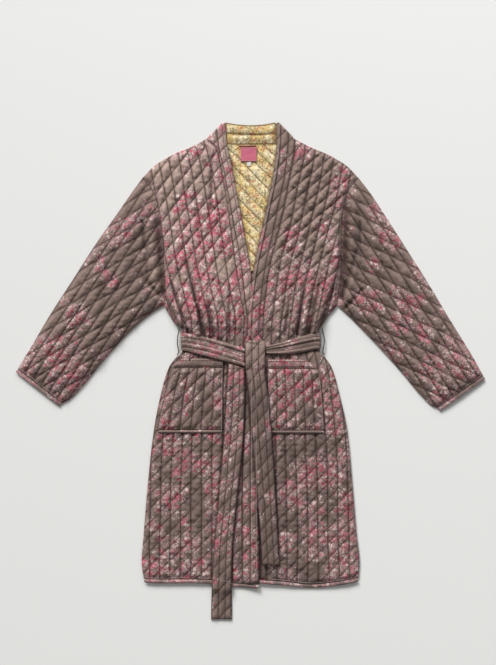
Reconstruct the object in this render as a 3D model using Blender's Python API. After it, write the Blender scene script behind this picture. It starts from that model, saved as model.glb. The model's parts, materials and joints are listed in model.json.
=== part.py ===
"""Long quilted wrap jacket with its own belt, laid flat on its back on a surface.

The jacket lies face up: X runs across it, Y from hem to collar, Z up. "right" and
"left" are the wearer's own, so the right front lies at negative X. Every piece that a
maker cuts and sews on is one closed solid. A piece that lies on others is raised on
their points, with a small gap at each seam. Quilted pieces are padded between their
stitch lines on the outer face and plain on the inner one.
"""

from collections import namedtuple
from math import cos, pi, radians, sin, sqrt

import bmesh
import bpy
import numpy as np
from mathutils import Vector
from mathutils.bvhtree import BVHTree

# Cloth and seams, in metres
SEAM_GAP = 0.0003
WALL = 0.0022
EDGE_WALL = 0.0015
PUFF = 0.0026
PRESSED_PUFF = 0.0008
PINCH_REACH = 0.014
BINDING_WIDTH = 0.0090
FRONT_HEM_WALL = 0.0040
LINING_WALL = 0.0012
LINING_EDGE_WALL = 0.0010
LINING_PUFF = 0.0014
HIDDEN_FOLD_MAX = 0.0030
ROUNDING = 1e-6

# How far round a point a piece looks for what it rests on
Reach = namedtuple("Reach", "across along")
LINING_REACH = Reach(0.0040, 0.0040)
FRONT_REACH = Reach(0.0200, 0.0200)
BAND_REACH = Reach(0.0125, 0.0145)
HEM_REACH = Reach(0.0145, 0.0075)
POCKET_REACH = Reach(0.0180, 0.0180)
POCKET_STRIP_REACH = Reach(0.0160, 0.0130)
BELT_ARM_REACH = Reach(0.0120, 0.0120)
BELT_END_REACH = Reach(0.0145, 0.0180)
KNOT_REACH = Reach(0.0125, 0.0070)

# Padding of the folded strips: how far each ridge stands above the strip's wall
BAND_PUFF = 0.0014
POCKET_STRIP_PUFF = 0.0022
BELT_ARM_PUFF = 0.0013
BELT_END_PUFF = 0.0012
KNOT_PUFF = 0.0016
KNOT_SWELL = 0.0030

# Quilting: lines along the cloth, crossed by lines at 45 degrees, both one pitch apart
PITCH = 0.0238
DIAGONAL_STEP = PITCH * sqrt(2.0)

# Where the belt goes round the waist
BELT_WIDTH = 0.0440
BELT_BACK_Y = 0.0685
BELT_BACK_REACH = 0.1500
BELT_WALL = 0.0024
BELT_RAMP = 0.0300

# The jacket's outline on the surface
NECK_SEAM_Y = 0.5195
COLLAR_TOP_Y = 0.5638
BAND_TOP_Y = 0.5695
BACK_HEM_Y = -0.4755
FRONT_CROSSING_Y = 0.0460

Side = namedtuple("Side", "height right left")
BODY_SIDES = (
    Side(-0.492, -0.2425, 0.2465),
    Side(-0.440, -0.2500, 0.2500),
    Side(-0.371, -0.2450, 0.2430),
    Side(-0.261, -0.2360, 0.2340),
    Side(-0.137, -0.2220, 0.2220),
    Side(-0.054, -0.2060, 0.2040),
    Side(0.006, -0.1880, 0.1870),
    Side(0.030, -0.1710, 0.1710),
    Side(0.0435, -0.1565, 0.1580),
    Side(0.0935, -0.1565, 0.1580),
    Side(0.106, -0.1710, 0.1660),
    Side(0.126, -0.1850, 0.1780),
    Side(0.150, -0.1970, 0.1980),
    Side(0.190, -0.1955, 0.2035),
    Side(0.240, -0.1985, 0.2080),
    Side(0.285, -0.2000, 0.2080),
    Side(0.340, -0.2060, 0.2100),
    Side(0.376, -0.2120, 0.2140),
    Side(0.412, -0.2250, 0.2240),
    Side(0.442, -0.2485, 0.2485),
)
UNDERARM_Y = 0.150
ARMHOLE_TOP_Y = 0.442

Shoulder = namedtuple("Shoulder", "out height")
SHOULDER_LINE = (
    Shoulder(0.2485, 0.4420),
    Shoulder(0.2200, 0.4710),
    Shoulder(0.1980, 0.4850),
    Shoulder(0.1740, 0.4980),
    Shoulder(0.1400, 0.5120),
    Shoulder(0.1180, 0.5230),
    Shoulder(0.0990, 0.5335),
)

# The front bands: seam to the front, and the free edge, from hem to collar
Band = namedtuple("Band", "height right_seam right_edge left_edge left_seam")
FRONT_BANDS = (
    Band(-0.492, -0.0184, 0.0196, -0.0020, 0.0370),
    Band(-0.250, -0.0184, 0.0196, -0.0040, 0.0350),
    Band(-0.050, -0.0184, 0.0190, -0.0040, 0.0320),
    Band(0.006, -0.0182, 0.0150, -0.0020, 0.0300),
    Band(0.030, -0.0180, 0.0053, 0.0059, 0.0290),
    Band(0.062, -0.0170, 0.0053, 0.0059, 0.0280),
    Band(0.086, -0.0155, 0.0135, -0.0070, 0.0285),
    Band(0.117, -0.0140, 0.0130, -0.0060, 0.0300),
    Band(0.174, -0.0230, 0.0070, -0.0010, 0.0350),
    Band(0.240, -0.0335, -0.0010, 0.0085, 0.0450),
    Band(0.318, -0.0440, -0.0140, 0.0250, 0.0640),
    Band(0.383, -0.0535, -0.0265, 0.0380, 0.0790),
    Band(0.440, -0.0630, -0.0370, 0.0500, 0.0900),
    Band(0.480, -0.0705, -0.0450, 0.0560, 0.0975),
    Band(0.510, -0.0780, -0.0520, 0.0590, 0.1020),
    Band(0.5335, -0.0990, -0.0550, 0.0603, 0.0990),
    Band(0.548, -0.0855, -0.0565, 0.0603, 0.0870),
    Band(BAND_TOP_Y, -0.0640, -0.0590, 0.0605, 0.0655),
)

# Lower edge of each front and of the back, without their bindings
Hem = namedtuple("Hem", "x height")
RIGHT_HEM = (
    Hem(-0.2430, -0.4780),
    Hem(-0.2240, -0.4800),
    Hem(-0.1500, -0.4795),
    Hem(-0.0870, -0.4805),
    Hem(-0.0400, -0.4880),
    Hem(0.0200, -0.4915),
)
LEFT_HEM = (
    Hem(-0.0030, -0.4790),
    Hem(0.0370, -0.4820),
    Hem(0.0750, -0.4845),
    Hem(0.1380, -0.4910),
    Hem(0.2150, -0.4830),
    Hem(0.2480, -0.4760),
)

# Sleeves: the outer edge of the arm and the underarm seam, from shoulder to cuff
Arm = namedtuple("Arm", "outer_x outer_y under_x under_y")
RIGHT_ARM = (
    Arm(-0.2485, 0.4420, -0.1970, 0.1500),
    Arm(-0.2700, 0.4130, -0.2360, 0.1250),
    Arm(-0.3060, 0.3610, -0.2820, 0.0840),
    Arm(-0.3560, 0.2900, -0.3200, 0.0430),
    Arm(-0.4080, 0.2090, -0.3560, 0.0000),
    Arm(-0.4580, 0.1320, -0.3890, -0.0400),
    Arm(-0.5080, 0.0480, -0.4180, -0.0680),
    Arm(-0.5350, 0.0040, -0.4325, -0.0755),
)
LEFT_ARM = (
    Arm(0.2485, 0.4420, 0.1980, 0.1500),
    Arm(0.2750, 0.4080, 0.2290, 0.1220),
    Arm(0.3120, 0.3520, 0.2790, 0.0710),
    Arm(0.3600, 0.2770, 0.3180, 0.0290),
    Arm(0.4080, 0.2010, 0.3540, -0.0120),
    Arm(0.4570, 0.1190, 0.3870, -0.0520),
    Arm(0.5080, 0.0360, 0.4170, -0.0810),
    Arm(0.5350, -0.0120, 0.4300, -0.0860),
)
CUFF_DEPTH = 0.0090
SLEEVE_SLOT = 0.0006
SLEEVE_SLOT_INSET = 0.0040

# Folds: a soft ridge from one point to another, with its half width and height
Fold = namedtuple("Fold", "x1 y1 x2 y2 half_width height")
RIGHT_FRONT_FOLDS = (
    Fold(-0.150, 0.100, -0.184, 0.250, 0.017, 0.0050),
    Fold(-0.128, 0.098, -0.152, 0.285, 0.015, 0.0048),
    Fold(-0.104, 0.094, -0.122, 0.260, 0.014, 0.0044),
    Fold(-0.080, 0.090, -0.096, 0.230, 0.014, 0.0036),
    Fold(-0.056, 0.086, -0.072, 0.200, 0.013, 0.0028),
    Fold(-0.140, 0.030, -0.170, -0.060, 0.016, 0.0036),
    Fold(-0.100, 0.022, -0.112, -0.050, 0.015, 0.0026),
    Fold(-0.186, 0.250, -0.205, 0.400, 0.020, 0.0034),
)
LEFT_FRONT_FOLDS = (
    Fold(0.148, 0.100, 0.176, 0.250, 0.017, 0.0048),
    Fold(0.122, 0.098, 0.142, 0.235, 0.015, 0.0036),
    Fold(0.094, 0.094, 0.108, 0.200, 0.014, 0.0028),
    Fold(0.064, 0.090, 0.074, 0.190, 0.013, 0.0024),
    Fold(0.142, 0.030, 0.172, -0.060, 0.016, 0.0036),
    Fold(0.104, 0.026, 0.112, -0.050, 0.015, 0.0024),
    Fold(0.188, 0.250, 0.206, 0.400, 0.020, 0.0034),
)
RIGHT_SLEEVE_FOLDS = (
    Fold(-0.232, 0.395, -0.222, 0.190, 0.022, 0.0066),
    Fold(-0.280, 0.330, -0.290, 0.150, 0.024, 0.0046),
    Fold(-0.350, 0.230, -0.352, 0.060, 0.022, 0.0040),
    Fold(-0.420, 0.140, -0.400, 0.000, 0.022, 0.0034),
    Fold(-0.480, 0.050, -0.445, -0.030, 0.020, 0.0026),
)
LEFT_SLEEVE_FOLDS = (
    Fold(0.234, 0.395, 0.230, 0.190, 0.022, 0.0064),
    Fold(0.284, 0.320, 0.286, 0.140, 0.024, 0.0040),
    Fold(0.352, 0.220, 0.340, 0.060, 0.022, 0.0034),
    Fold(0.430, 0.110, 0.404, -0.020, 0.022, 0.0028),
)

# Patch pockets: corners of the outline, and the depth of the folded top and the piping
Corner = namedtuple("Corner", "x y")
RIGHT_POCKET = (
    Corner(-0.0625, 0.0285),
    Corner(-0.1730, 0.0285),
    Corner(-0.1930, -0.0400),
    Corner(-0.2080, -0.1050),
    Corner(-0.2135, -0.1370),
    Corner(-0.0640, -0.1430),
)
LEFT_POCKET = (
    Corner(0.0390, 0.0265),
    Corner(0.0390, -0.1425),
    Corner(0.1700, -0.1440),
    Corner(0.1665, -0.0800),
    Corner(0.1600, -0.0035),
    Corner(0.1277, 0.0265),
)
POCKET_TOP_DEPTH = 0.0230
POCKET_PIPING_DEPTH = 0.0070
POCKET_PUFF = 0.0024

# Belt runs over the front: the two edges of the strip at each place along it
Strip = namedtuple("Strip", "ax ay bx by")
RIGHT_ARM_OF_BELT = (
    Strip(-0.1500, 0.0880, -0.1500, 0.0450),
    Strip(-0.1250, 0.0830, -0.1250, 0.0385),
    Strip(-0.0700, 0.0690, -0.0700, 0.0235),
    Strip(-0.0132, 0.0520, -0.0132, 0.0080),
)
LEFT_ARM_OF_BELT = (
    Strip(0.1500, 0.0480, 0.1500, 0.0880),
    Strip(0.1150, 0.0400, 0.1150, 0.0790),
    Strip(0.0750, 0.0370, 0.0750, 0.0665),
    Strip(0.0352, 0.0380, 0.0352, 0.0560),
)
KNOT_WRAP = (
    Strip(-0.0120, 0.0690, 0.0335, 0.0690),
    Strip(-0.0126, 0.0580, 0.0345, 0.0580),
    Strip(-0.0126, 0.0330, 0.0345, 0.0330),
    Strip(-0.0120, 0.0100, 0.0340, 0.0100),
    Strip(-0.0110, -0.0030, 0.0330, -0.0030),
)
LEFT_BELT_END = (
    Strip(-0.0100, -0.0036, 0.0340, -0.0036),
    Strip(-0.0040, -0.0600, 0.0415, -0.0600),
    Strip(0.0064, -0.1830, 0.0518, -0.1830),
    Strip(0.0190, -0.3300, 0.0605, -0.3300),
    Strip(0.0274, -0.4450, 0.0667, -0.4460),
)
RIGHT_BELT_END = (
    Strip(-0.0500, 0.0160, -0.0135, 0.0050),
    Strip(-0.0550, -0.0500, -0.0120, -0.0520),
    Strip(-0.0615, -0.1600, -0.0165, -0.1600),
    Strip(-0.0740, -0.3000, -0.0310, -0.3000),
    Strip(-0.0850, -0.4270, -0.0425, -0.4270),
    Strip(-0.0890, -0.5000, -0.0430, -0.5000),
    Strip(-0.0908, -0.5716, -0.0430, -0.5716),
)

# Small pieces at the back neck, on the lining
LABEL_SIZE = (0.0370, 0.0320)
LABEL_CENTRE = (-0.0040, 0.4960)
TAB_SIZE = (0.0090, 0.0095)
TAB_CENTRE = (-0.0035, 0.4741)
LOOP_LENGTH = 0.0430
LOOP_CENTRE = (-0.0060, 0.5150)
LOOP_RADIUS = 0.0021
TRIM_WALL = 0.0007

THREAD_RADIUS = 0.0014
BELT_LOOP_TOP_Y = 0.1000
BELT_LOOP_FOOT_Y = 0.0340
BELT_LOOP_BOW = 0.0115
BELT_LOOP_LEVEL = 0.0052
BELT_LOOP_CLEARANCE = 0.00102

COLOURS = {
    "print": (0.168, 0.124, 0.111, 1.0),
    "lining": (0.720, 0.600, 0.330, 1.0),
    "binding": (0.230, 0.150, 0.140, 1.0),
    "label": (0.640, 0.120, 0.230, 1.0),
    "tab": (0.800, 0.780, 0.740, 1.0),
    "hanger": (0.220, 0.040, 0.040, 1.0),
    "thread": (0.060, 0.030, 0.025, 1.0),
}

# Height of a cutter, well above and below any cloth
TALL = 0.2
DOWN = Vector((0.0, 0.0, -1.0))


def clear_scene():
    for old in list(bpy.data.objects):
        bpy.data.objects.remove(old, do_unlink=True)


def soft_step(value):
    """0 below 0, 1 above 1, with a soft start and end."""
    value = min(max(value, 0.0), 1.0)
    return value * value * (3.0 - 2.0 * value)


def read_curve(places, values, at):
    """A smooth curve through the values, which never overshoots between them."""
    order = np.argsort(places)
    x = np.asarray(places, float)[order]
    y = np.asarray(values, float)[order]
    at = min(max(at, x[0]), x[-1])
    rates = np.diff(y) / np.diff(x)
    turning = rates[:-1] * rates[1:] <= 0.0
    total = np.where(turning, 1.0, rates[:-1] + rates[1:])
    mean = np.where(turning, 0.0, 2.0 * rates[:-1] * rates[1:] / total)
    slopes = np.concatenate([rates[:1], mean, rates[-1:]])
    k = int(np.clip(np.searchsorted(x, at) - 1, 0, len(x) - 2))
    span = x[k + 1] - x[k]
    t = (at - x[k]) / span
    rise = 3.0 * t * t - 2.0 * t * t * t
    start = slopes[k] * span * (t - 2.0 * t * t + t * t * t)
    end = slopes[k + 1] * span * (t * t * t - t * t)
    return float(y[k] + (y[k + 1] - y[k]) * rise + start + end)


def column(rows, name):
    return [getattr(row, name) for row in rows]


def at_height(rows, name, height):
    return read_curve(column(rows, "height"), column(rows, name), height)


def side_x(side, height):
    return at_height(BODY_SIDES, side, height)


def seam_x(side, height):
    return at_height(FRONT_BANDS, side + "_seam", height)


def edge_x(side, height):
    return at_height(FRONT_BANDS, side + "_edge", height)


def hem_y(side, x):
    rows = RIGHT_HEM if side == "right" else LEFT_HEM
    return read_curve(column(rows, "x"), column(rows, "height"), x)


def sign_of(side):
    return -1.0 if side == "right" else 1.0


def side_heights(low, high):
    """Shared places along the side and the armhole, so that pieces meet at their seams."""
    below = [low] + [h for h in steps(-0.470, 0.010, 0.030) if h > low + 0.010]
    waist = [0.030, 0.037, 0.0435, 0.069, 0.0935, 0.100, 0.106, 0.126]
    armhole = steps(UNDERARM_Y, ARMHOLE_TOP_Y, 0.026)
    return [h for h in below + waist + armhole if low <= h <= high + ROUNDING]


def band_heights(low, high=BAND_TOP_Y):
    """Shared places along a band and its seam to the front."""
    below = [low] + [h for h in steps(-0.470, -0.010, 0.026) if h > low + 0.008]
    crossing = [0.006, 0.018, 0.030, 0.046, 0.062, 0.074, 0.086]
    above = steps(0.100, 0.510, 0.026) + [0.522, 0.5335, 0.548, BAND_TOP_Y]
    return [h for h in below + crossing + above if low <= h <= high + ROUNDING]


def steps(start, end, spacing):
    count = max(1, int(round(abs(end - start) / spacing)))
    return [start + (end - start) * k / count for k in range(count + 1)]


# Objects, materials and how pieces rest on each other

def material(name):
    made = bpy.data.materials.get(name)
    if made is None:
        made = bpy.data.materials.new(name)
        made.use_nodes = True
        shader = made.node_tree.nodes["Principled BSDF"]
        shader.inputs["Base Color"].default_value = COLOURS[name]
        shader.inputs["Roughness"].default_value = 0.85
        shader.inputs["Metallic"].default_value = 0.0
    return made


def add_object(name, mesh, finish, smooth=False):
    piece = bpy.data.objects.new(name, mesh)
    PARTS.objects.link(piece)
    mesh.materials.clear()
    mesh.materials.append(material(finish))
    for face in mesh.polygons:
        face.use_smooth = smooth
    return piece


def mesh_from(bm, name):
    bmesh.ops.recalc_face_normals(bm, faces=bm.faces[:])
    mesh = bpy.data.meshes.new(name)
    bm.to_mesh(mesh)
    bm.free()
    return mesh


def surface_tree(piece):
    corners = [piece.matrix_world @ vertex.co for vertex in piece.data.vertices]
    return BVHTree.FromPolygons(corners, [tuple(face.vertices) for face in piece.data.polygons])


def rest_height(x, y, trees, reach):
    """The highest point of what lies beneath, within reach of a place."""
    highest = 0.0
    for ring, count in ((0.0, 1), (0.25, 6), (0.5, 9), (0.75, 13), (1.0, 18)):
        for k in range(count):
            turn = 2.0 * pi * k / count
            across = ring * reach.across * cos(turn)
            along = ring * reach.along * sin(turn)
            start = Vector((x + across, y + along, TALL))
            for tree in trees:
                hit = tree.ray_cast(start, DOWN)[0]
                if hit is not None:
                    highest = max(highest, hit.z)
    return highest


def distance_to_outline(x, y, outline):
    here = np.array((x, y))
    a = np.asarray(outline, float)
    b = np.roll(a, -1, axis=0)
    along = b - a
    t = np.clip(((here - a) * along).sum(1) / np.maximum((along ** 2).sum(1), 1e-12), 0.0, 1.0)
    return float(np.sqrt((((a + along * t[:, None]) - here) ** 2).sum(1)).min())


def fold_height(x, y, folds):
    """How far the folds lift the cloth at a place."""
    lift = 0.0
    here = Vector((x, y))
    for fold in folds:
        start = Vector((fold.x1, fold.y1))
        run = Vector((fold.x2, fold.y2)) - start
        t = (here - start).dot(run) / run.length_squared
        off = (here - start - run * min(max(t, 0.0), 1.0)).length
        fade = soft_step(1.15 - t) if t > 0.0 else 1.0
        lift = max(lift, fold.height * fade * soft_step(1.0 - off / fold.half_width))
    return lift


# Flat quilted cloth, cut to an outline and laid on what is beneath it

def quilted_sheet(place, columns, rows, wall, puff):
    """A flat padded sheet: place(i, j) says where the quilting lines cross."""
    bm = bmesh.new()
    across = columns[1] - columns[0]
    along = rows[1] - rows[0]
    bmesh.ops.create_grid(bm, x_segments=across, y_segments=along, size=0.5)
    for vertex in bm.verts:
        i = columns[0] + round((vertex.co.x + 0.5) * across)
        j = rows[0] + round((vertex.co.y + 0.5) * along)
        vertex.co = Vector((*place(i, j), 0.0))
    raised = bmesh.ops.extrude_face_region(bm, geom=bm.faces[:])["geom"]
    for item in raised:
        if isinstance(item, bmesh.types.BMVert):
            item.co.z = wall
    outer = [item for item in raised if isinstance(item, bmesh.types.BMFace)]
    for centre in bmesh.ops.poke(bm, faces=outer)["verts"]:
        centre.co.z = wall + puff
    return mesh_from(bm, "sheet")


def prism(outline, low, high):
    bm = bmesh.new()
    face = bm.faces.new([bm.verts.new((x, y, low)) for x, y in outline])
    raised = bmesh.ops.extrude_face_region(bm, geom=[face])["geom"]
    for item in raised:
        if isinstance(item, bmesh.types.BMVert):
            item.co.z = high
    return mesh_from(bm, "prism")


def cut_mesh(mesh, cutter_mesh, operation):
    """The mesh with the cutter's shape kept (INTERSECT) or taken out (DIFFERENCE)."""
    body = bpy.data.objects.new("body_to_cut", mesh)
    cutter = bpy.data.objects.new("cutter", cutter_mesh)
    PARTS.objects.link(body)
    CUTTERS.objects.link(cutter)
    cutter.hide_render = True
    cutter.display_type = "WIRE"
    cut = body.modifiers.new("cut", "BOOLEAN")
    cut.operation = operation
    cut.object = cutter
    cut.solver = "EXACT"
    bpy.context.view_layer.update()
    result = bpy.data.meshes.new_from_object(body.evaluated_get(bpy.context.evaluated_depsgraph_get()))
    bpy.data.objects.remove(body)
    bpy.data.objects.remove(cutter)
    return result


def tidy_triangles(mesh):
    bm = bmesh.new()
    bm.from_mesh(mesh)
    bmesh.ops.remove_doubles(bm, verts=bm.verts[:], dist=0.0001)
    bmesh.ops.dissolve_degenerate(bm, edges=bm.edges[:], dist=0.0001)
    bmesh.ops.triangulate(bm, faces=bm.faces[:], quad_method="SHORT_EDGE", ngon_method="BEAUTY")
    return bm


def lay_sheet(mesh, outline, beneath, reach, wall, edge_wall, folds=(), pressed=None):
    """Pinch a cut sheet at its seams, and raise it on what lies beneath and by its folds."""
    bm = tidy_triangles(mesh)
    for vertex in bm.verts:
        x, y, level = vertex.co
        ground = 0.0
        if beneath:
            ground = rest_height(x, y, beneath, reach) + SEAM_GAP
        lift = fold_height(x, y, folds)
        inside = soft_step(distance_to_outline(x, y, outline) / PINCH_REACH)
        lift *= inside
        if level <= 0.0:
            vertex.co.z = ground + min(lift, HIDDEN_FOLD_MAX)
            continue
        padding = max(level - wall, 0.0)
        if pressed is not None and pressed(x, y):
            padding = min(padding, PRESSED_PUFF)
        vertex.co.z = ground + lift + edge_wall + (wall - edge_wall + padding) * inside
    return mesh_from(bm, "laid")


# Back and its lining

def back_outline():
    heights = side_heights(BACK_HEM_Y, ARMHOLE_TOP_Y)
    left = [(side_x("left", height), height) for height in heights]
    shoulder = [(row.out, row.height) for row in SHOULDER_LINE[1:]]
    neck = [(SHOULDER_LINE[-1].out, NECK_SEAM_Y)]
    right = [(side_x("right", height), height) for height in heights]
    right += [(-x, y) for x, y in shoulder + neck]
    return left + shoulder + neck + right[::-1]


def belt_rise(y):
    """How far the belt under the back lifts it at the waist."""
    off = abs(y - BELT_BACK_Y) - BELT_WIDTH / 2.0 - 0.002
    return (BELT_WALL + SEAM_GAP) * soft_step(1.0 - off / BELT_RAMP)


def make_back():
    mesh = prism(back_outline(), 0.0, WALL)
    bm = bmesh.new()
    bm.from_mesh(mesh)
    edge = BELT_WIDTH / 2.0 + 0.002
    for off in (edge, edge + BELT_RAMP / 3.0, edge + BELT_RAMP * 2.0 / 3.0, edge + BELT_RAMP):
        for turn in (-1.0, 1.0):
            bmesh.ops.bisect_plane(bm, geom=bm.verts[:] + bm.edges[:] + bm.faces[:],
                                   plane_co=(0.0, BELT_BACK_Y + turn * off, 0.0),
                                   plane_no=(0.0, 1.0, 0.0))
    for vertex in bm.verts:
        vertex.co.z += belt_rise(vertex.co.y)
    bmesh.ops.triangulate(bm, faces=bm.faces[:])
    return add_object("back", mesh_from(bm, "back"), "print")


def lining_outline():
    tuck = 0.0060
    heights = steps(0.228, NECK_SEAM_Y - SEAM_GAP, 0.024)
    right = [(edge_x("right", height) - tuck, height) for height in heights]
    left = [(edge_x("left", height) + tuck, height) for height in heights]
    return left + right[::-1]


def make_lining(trees):
    outline = lining_outline()

    def place(i, j):
        x = i * PITCH
        return x, j * DIAGONAL_STEP - x

    sheet = quilted_sheet(place, (-5, 6), (3, 20), LINING_WALL, LINING_PUFF)
    cut = cut_mesh(sheet, prism(outline, -TALL, TALL), "INTERSECT")
    laid = lay_sheet(cut, outline, trees, LINING_REACH, LINING_WALL, LINING_EDGE_WALL)
    return add_object("lining_back", laid, "lining")


def make_collar():
    """The back neck stand: its lined inner face is up, with two channels of padding."""
    low_y = NECK_SEAM_Y + SEAM_GAP
    inset = 0.0015
    half_width = SHOULDER_LINE[-1].out - SEAM_GAP
    corner_x = 0.0560
    corner_rise = 0.0065
    end_drop = 0.0370
    bm = bmesh.new()
    rings = []
    for x in steps(-half_width, half_width, 0.0125):
        past_corner = max(0.0, abs(x) - corner_x) / (half_width - corner_x)
        dip = corner_rise * min(1.0, abs(x) / corner_x) ** 2
        high_y = COLLAR_TOP_Y + dip - end_drop * past_corner
        visible = soft_step((corner_x + 0.0040 - abs(x)) / 0.0100)
        middle = (low_y + high_y) / 2.0
        puff = LINING_PUFF * 1.5 * visible
        profile = (
            (low_y, 0.0), (high_y, 0.0), (high_y, EDGE_WALL), (high_y - inset, WALL),
            ((middle + high_y) / 2.0, WALL + puff), (middle, WALL * 0.9),
            ((middle + low_y) / 2.0, WALL + puff), (low_y + inset, WALL), (low_y, EDGE_WALL),
        )
        rings.append([bm.verts.new((x, y, z)) for y, z in profile])
    for first, second in zip(rings, rings[1:]):
        for k in range(len(first)):
            n = (k + 1) % len(first)
            bm.faces.new((first[k], first[n], second[n], second[k]))
    bm.faces.new(rings[0])
    bm.faces.new(rings[-1][::-1])
    bmesh.ops.triangulate(bm, faces=bm.faces[:])
    return add_object("collar", mesh_from(bm, "collar"), "lining")


# Fronts

def front_outline(side):
    turn = sign_of(side)
    half_gap = SEAM_GAP / 2.0
    low_seam = hem_y(side, seam_x(side, -0.480))
    heights = band_heights(low_seam, SHOULDER_LINE[-1].height)
    seam = [(seam_x(side, height) + turn * half_gap, height) for height in heights]
    shoulder = [(turn * row.out, row.height) for row in SHOULDER_LINE[-2::-1]]
    low_side = hem_y(side, side_x(side, -0.470))
    down = [(side_x(side, height), height) for height in side_heights(low_side, ARMHOLE_TOP_Y)[-2::-1]]
    hem = [(x, hem_y(side, x)) for x in hem_places(side) if abs(x) < abs(down[-1][0]) - 0.005]
    hem = [(x, y) for x, y in hem if abs(x - seam[0][0]) > 0.005 and x * turn > seam[0][0] * turn]
    return seam + shoulder + down + sorted(hem, key=lambda point: -turn * point[0])


def column_width(height):
    """The columns between lengthwise stitch lines draw together at the belt."""
    heights = (-0.49, -0.25, -0.02, 0.07, 0.16, 0.30, 0.56)
    widths = (1.0, 0.99, 0.90, 0.82, 0.90, 0.96, 0.98)
    return read_curve(heights, widths, height)


def hem_places(side):
    """Shared places along a hem, from the side seam to the front's free edge."""
    free_end = edge_x(side, -0.480) + (0.006 if side == "left" else 0.0)
    return steps(side_x(side, -0.478), free_end, 0.026)


def pressed_places(side):
    corners = RIGHT_POCKET if side == "right" else LEFT_POCKET
    low = min(corner.y for corner in corners)
    high = max(corner.y for corner in corners)
    near = min(abs(corner.x) for corner in corners)
    far = max(abs(corner.x) for corner in corners)
    turn = sign_of(side)

    def pressed(x, y):
        under_pocket = low < y < high and near < x * turn < far
        under_belt = 0.000 < y < 0.094
        return under_pocket or under_belt

    return pressed


def make_front(side, trees):
    turn = sign_of(side)
    outline = front_outline(side)

    def place(i, j):
        along = i * PITCH
        height = j * DIAGONAL_STEP + turn * along
        return seam_x(side, height) + turn * along * column_width(height), height

    sheet = quilted_sheet(place, (-2, 12), (-26, 28), WALL, PUFF)
    cut = cut_mesh(sheet, prism(outline, -TALL, TALL), "INTERSECT")
    folds = RIGHT_FRONT_FOLDS if side == "right" else LEFT_FRONT_FOLDS
    laid = lay_sheet(cut, outline, trees, FRONT_REACH, WALL, EDGE_WALL, folds, pressed_places(side))
    return add_object("front_" + side, laid, "print")


# Lofted strips: bands, bindings and the belt

def loft(name, rings, finish, closed=False):
    bm = bmesh.new()
    made = [[bm.verts.new(point) for point in ring] for ring in rings]
    pairs = list(zip(made, made[1:]))
    if closed:
        pairs.append((made[-1], made[0]))
    for first, second in pairs:
        for k in range(len(first)):
            n = (k + 1) % len(first)
            bm.faces.new((first[k], first[n], second[n], second[k]))
    if not closed:
        bm.faces.new(made[0])
        bm.faces.new(made[-1][::-1])
    bmesh.ops.triangulate(bm, faces=bm.faces[:])
    return add_object(name, mesh_from(bm, name), finish)


def strip_ring(left, right, ground, wall, ridges, puff):
    """A section across a strip: plain beneath, with raised ridges between its edges."""
    middle = left.lerp(right, 0.5)
    bases = (ground(left), ground(middle), ground(right))
    top = []
    for k in range(2 * ridges + 1):
        t = k / (2.0 * ridges)
        at = left.lerp(right, t)
        if k in (0, 2 * ridges):
            rise = wall * 0.55
        elif k % 2:
            rise = wall + puff
        else:
            rise = wall
        base = float(np.interp(t, (0.0, 0.5, 1.0), bases))
        top.append(Vector((at.x, at.y, base + rise)))
    under = [Vector((at.x, at.y, base)) for at, base in zip((right, middle, left), bases[::-1])]
    return top + under


def make_band(name, side, trees, other_tree, over):
    """over(height) says where this band lies on the other one."""
    turn = sign_of(side)
    low = max(hem_y(side, seam_x(side, -0.480)), hem_y(side, edge_x(side, -0.480))) + SEAM_GAP
    rings = []
    for height in band_heights(low):
        seam = Vector((seam_x(side, height), height, 0.0))
        edge = Vector((edge_x(side, height), height, 0.0))
        beneath = trees + ([other_tree] if other_tree is not None and over(height) else [])

        def ground(at):
            return rest_height(at.x, at.y, beneath, BAND_REACH) + SEAM_GAP

        inset = Vector((turn * SEAM_GAP / 2.0, 0.0, 0.0))
        rings.append(strip_ring(edge, seam - inset, ground, WALL, 2, BAND_PUFF))
    return loft(name, rings, "print")


def make_bands(trees, hem_left_tree):
    """Each band lies on the other on one side of the crossing under the knot."""
    beneath = {"right": trees + [hem_left_tree], "left": trees}
    plain = {}
    for side in ("right", "left"):
        piece = make_band("plain_" + side, side, beneath[side], None, None)
        plain[side] = surface_tree(piece)
        bpy.data.objects.remove(piece)
    right = make_band("band_right", "right", beneath["right"], plain["left"],
                      lambda height: height < FRONT_CROSSING_Y)
    left = make_band("band_left", "left", beneath["left"], plain["right"],
                     lambda height: height > FRONT_CROSSING_Y)
    return right, left


def make_hem(name, xs, top_of, trees, height):
    rings = []
    for x in xs:
        top = top_of(x) - SEAM_GAP
        low = top - BINDING_WIDTH
        middle = (top + low) / 2.0
        base = 0.0
        if trees:
            base = rest_height(x, middle, trees, HEM_REACH) + SEAM_GAP
        profile = (
            (top, 0.0), (top, height * 0.75), (middle + 0.002, height), (middle - 0.002, height),
            (low + 0.0008, height * 0.7), (low, height * 0.4), (low + 0.0005, 0.0),
        )
        rings.append([Vector((x, y, base + z)) for y, z in profile])
    return loft(name, rings, "binding")


# Sleeves and cuffs

def arm_point(rows, kind, t):
    places = [k / (len(rows) - 1.0) for k in range(len(rows))]
    x = read_curve(places, column(rows, kind + "_x"), t)
    y = read_curve(places, column(rows, kind + "_y"), t)
    return x, y


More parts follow.
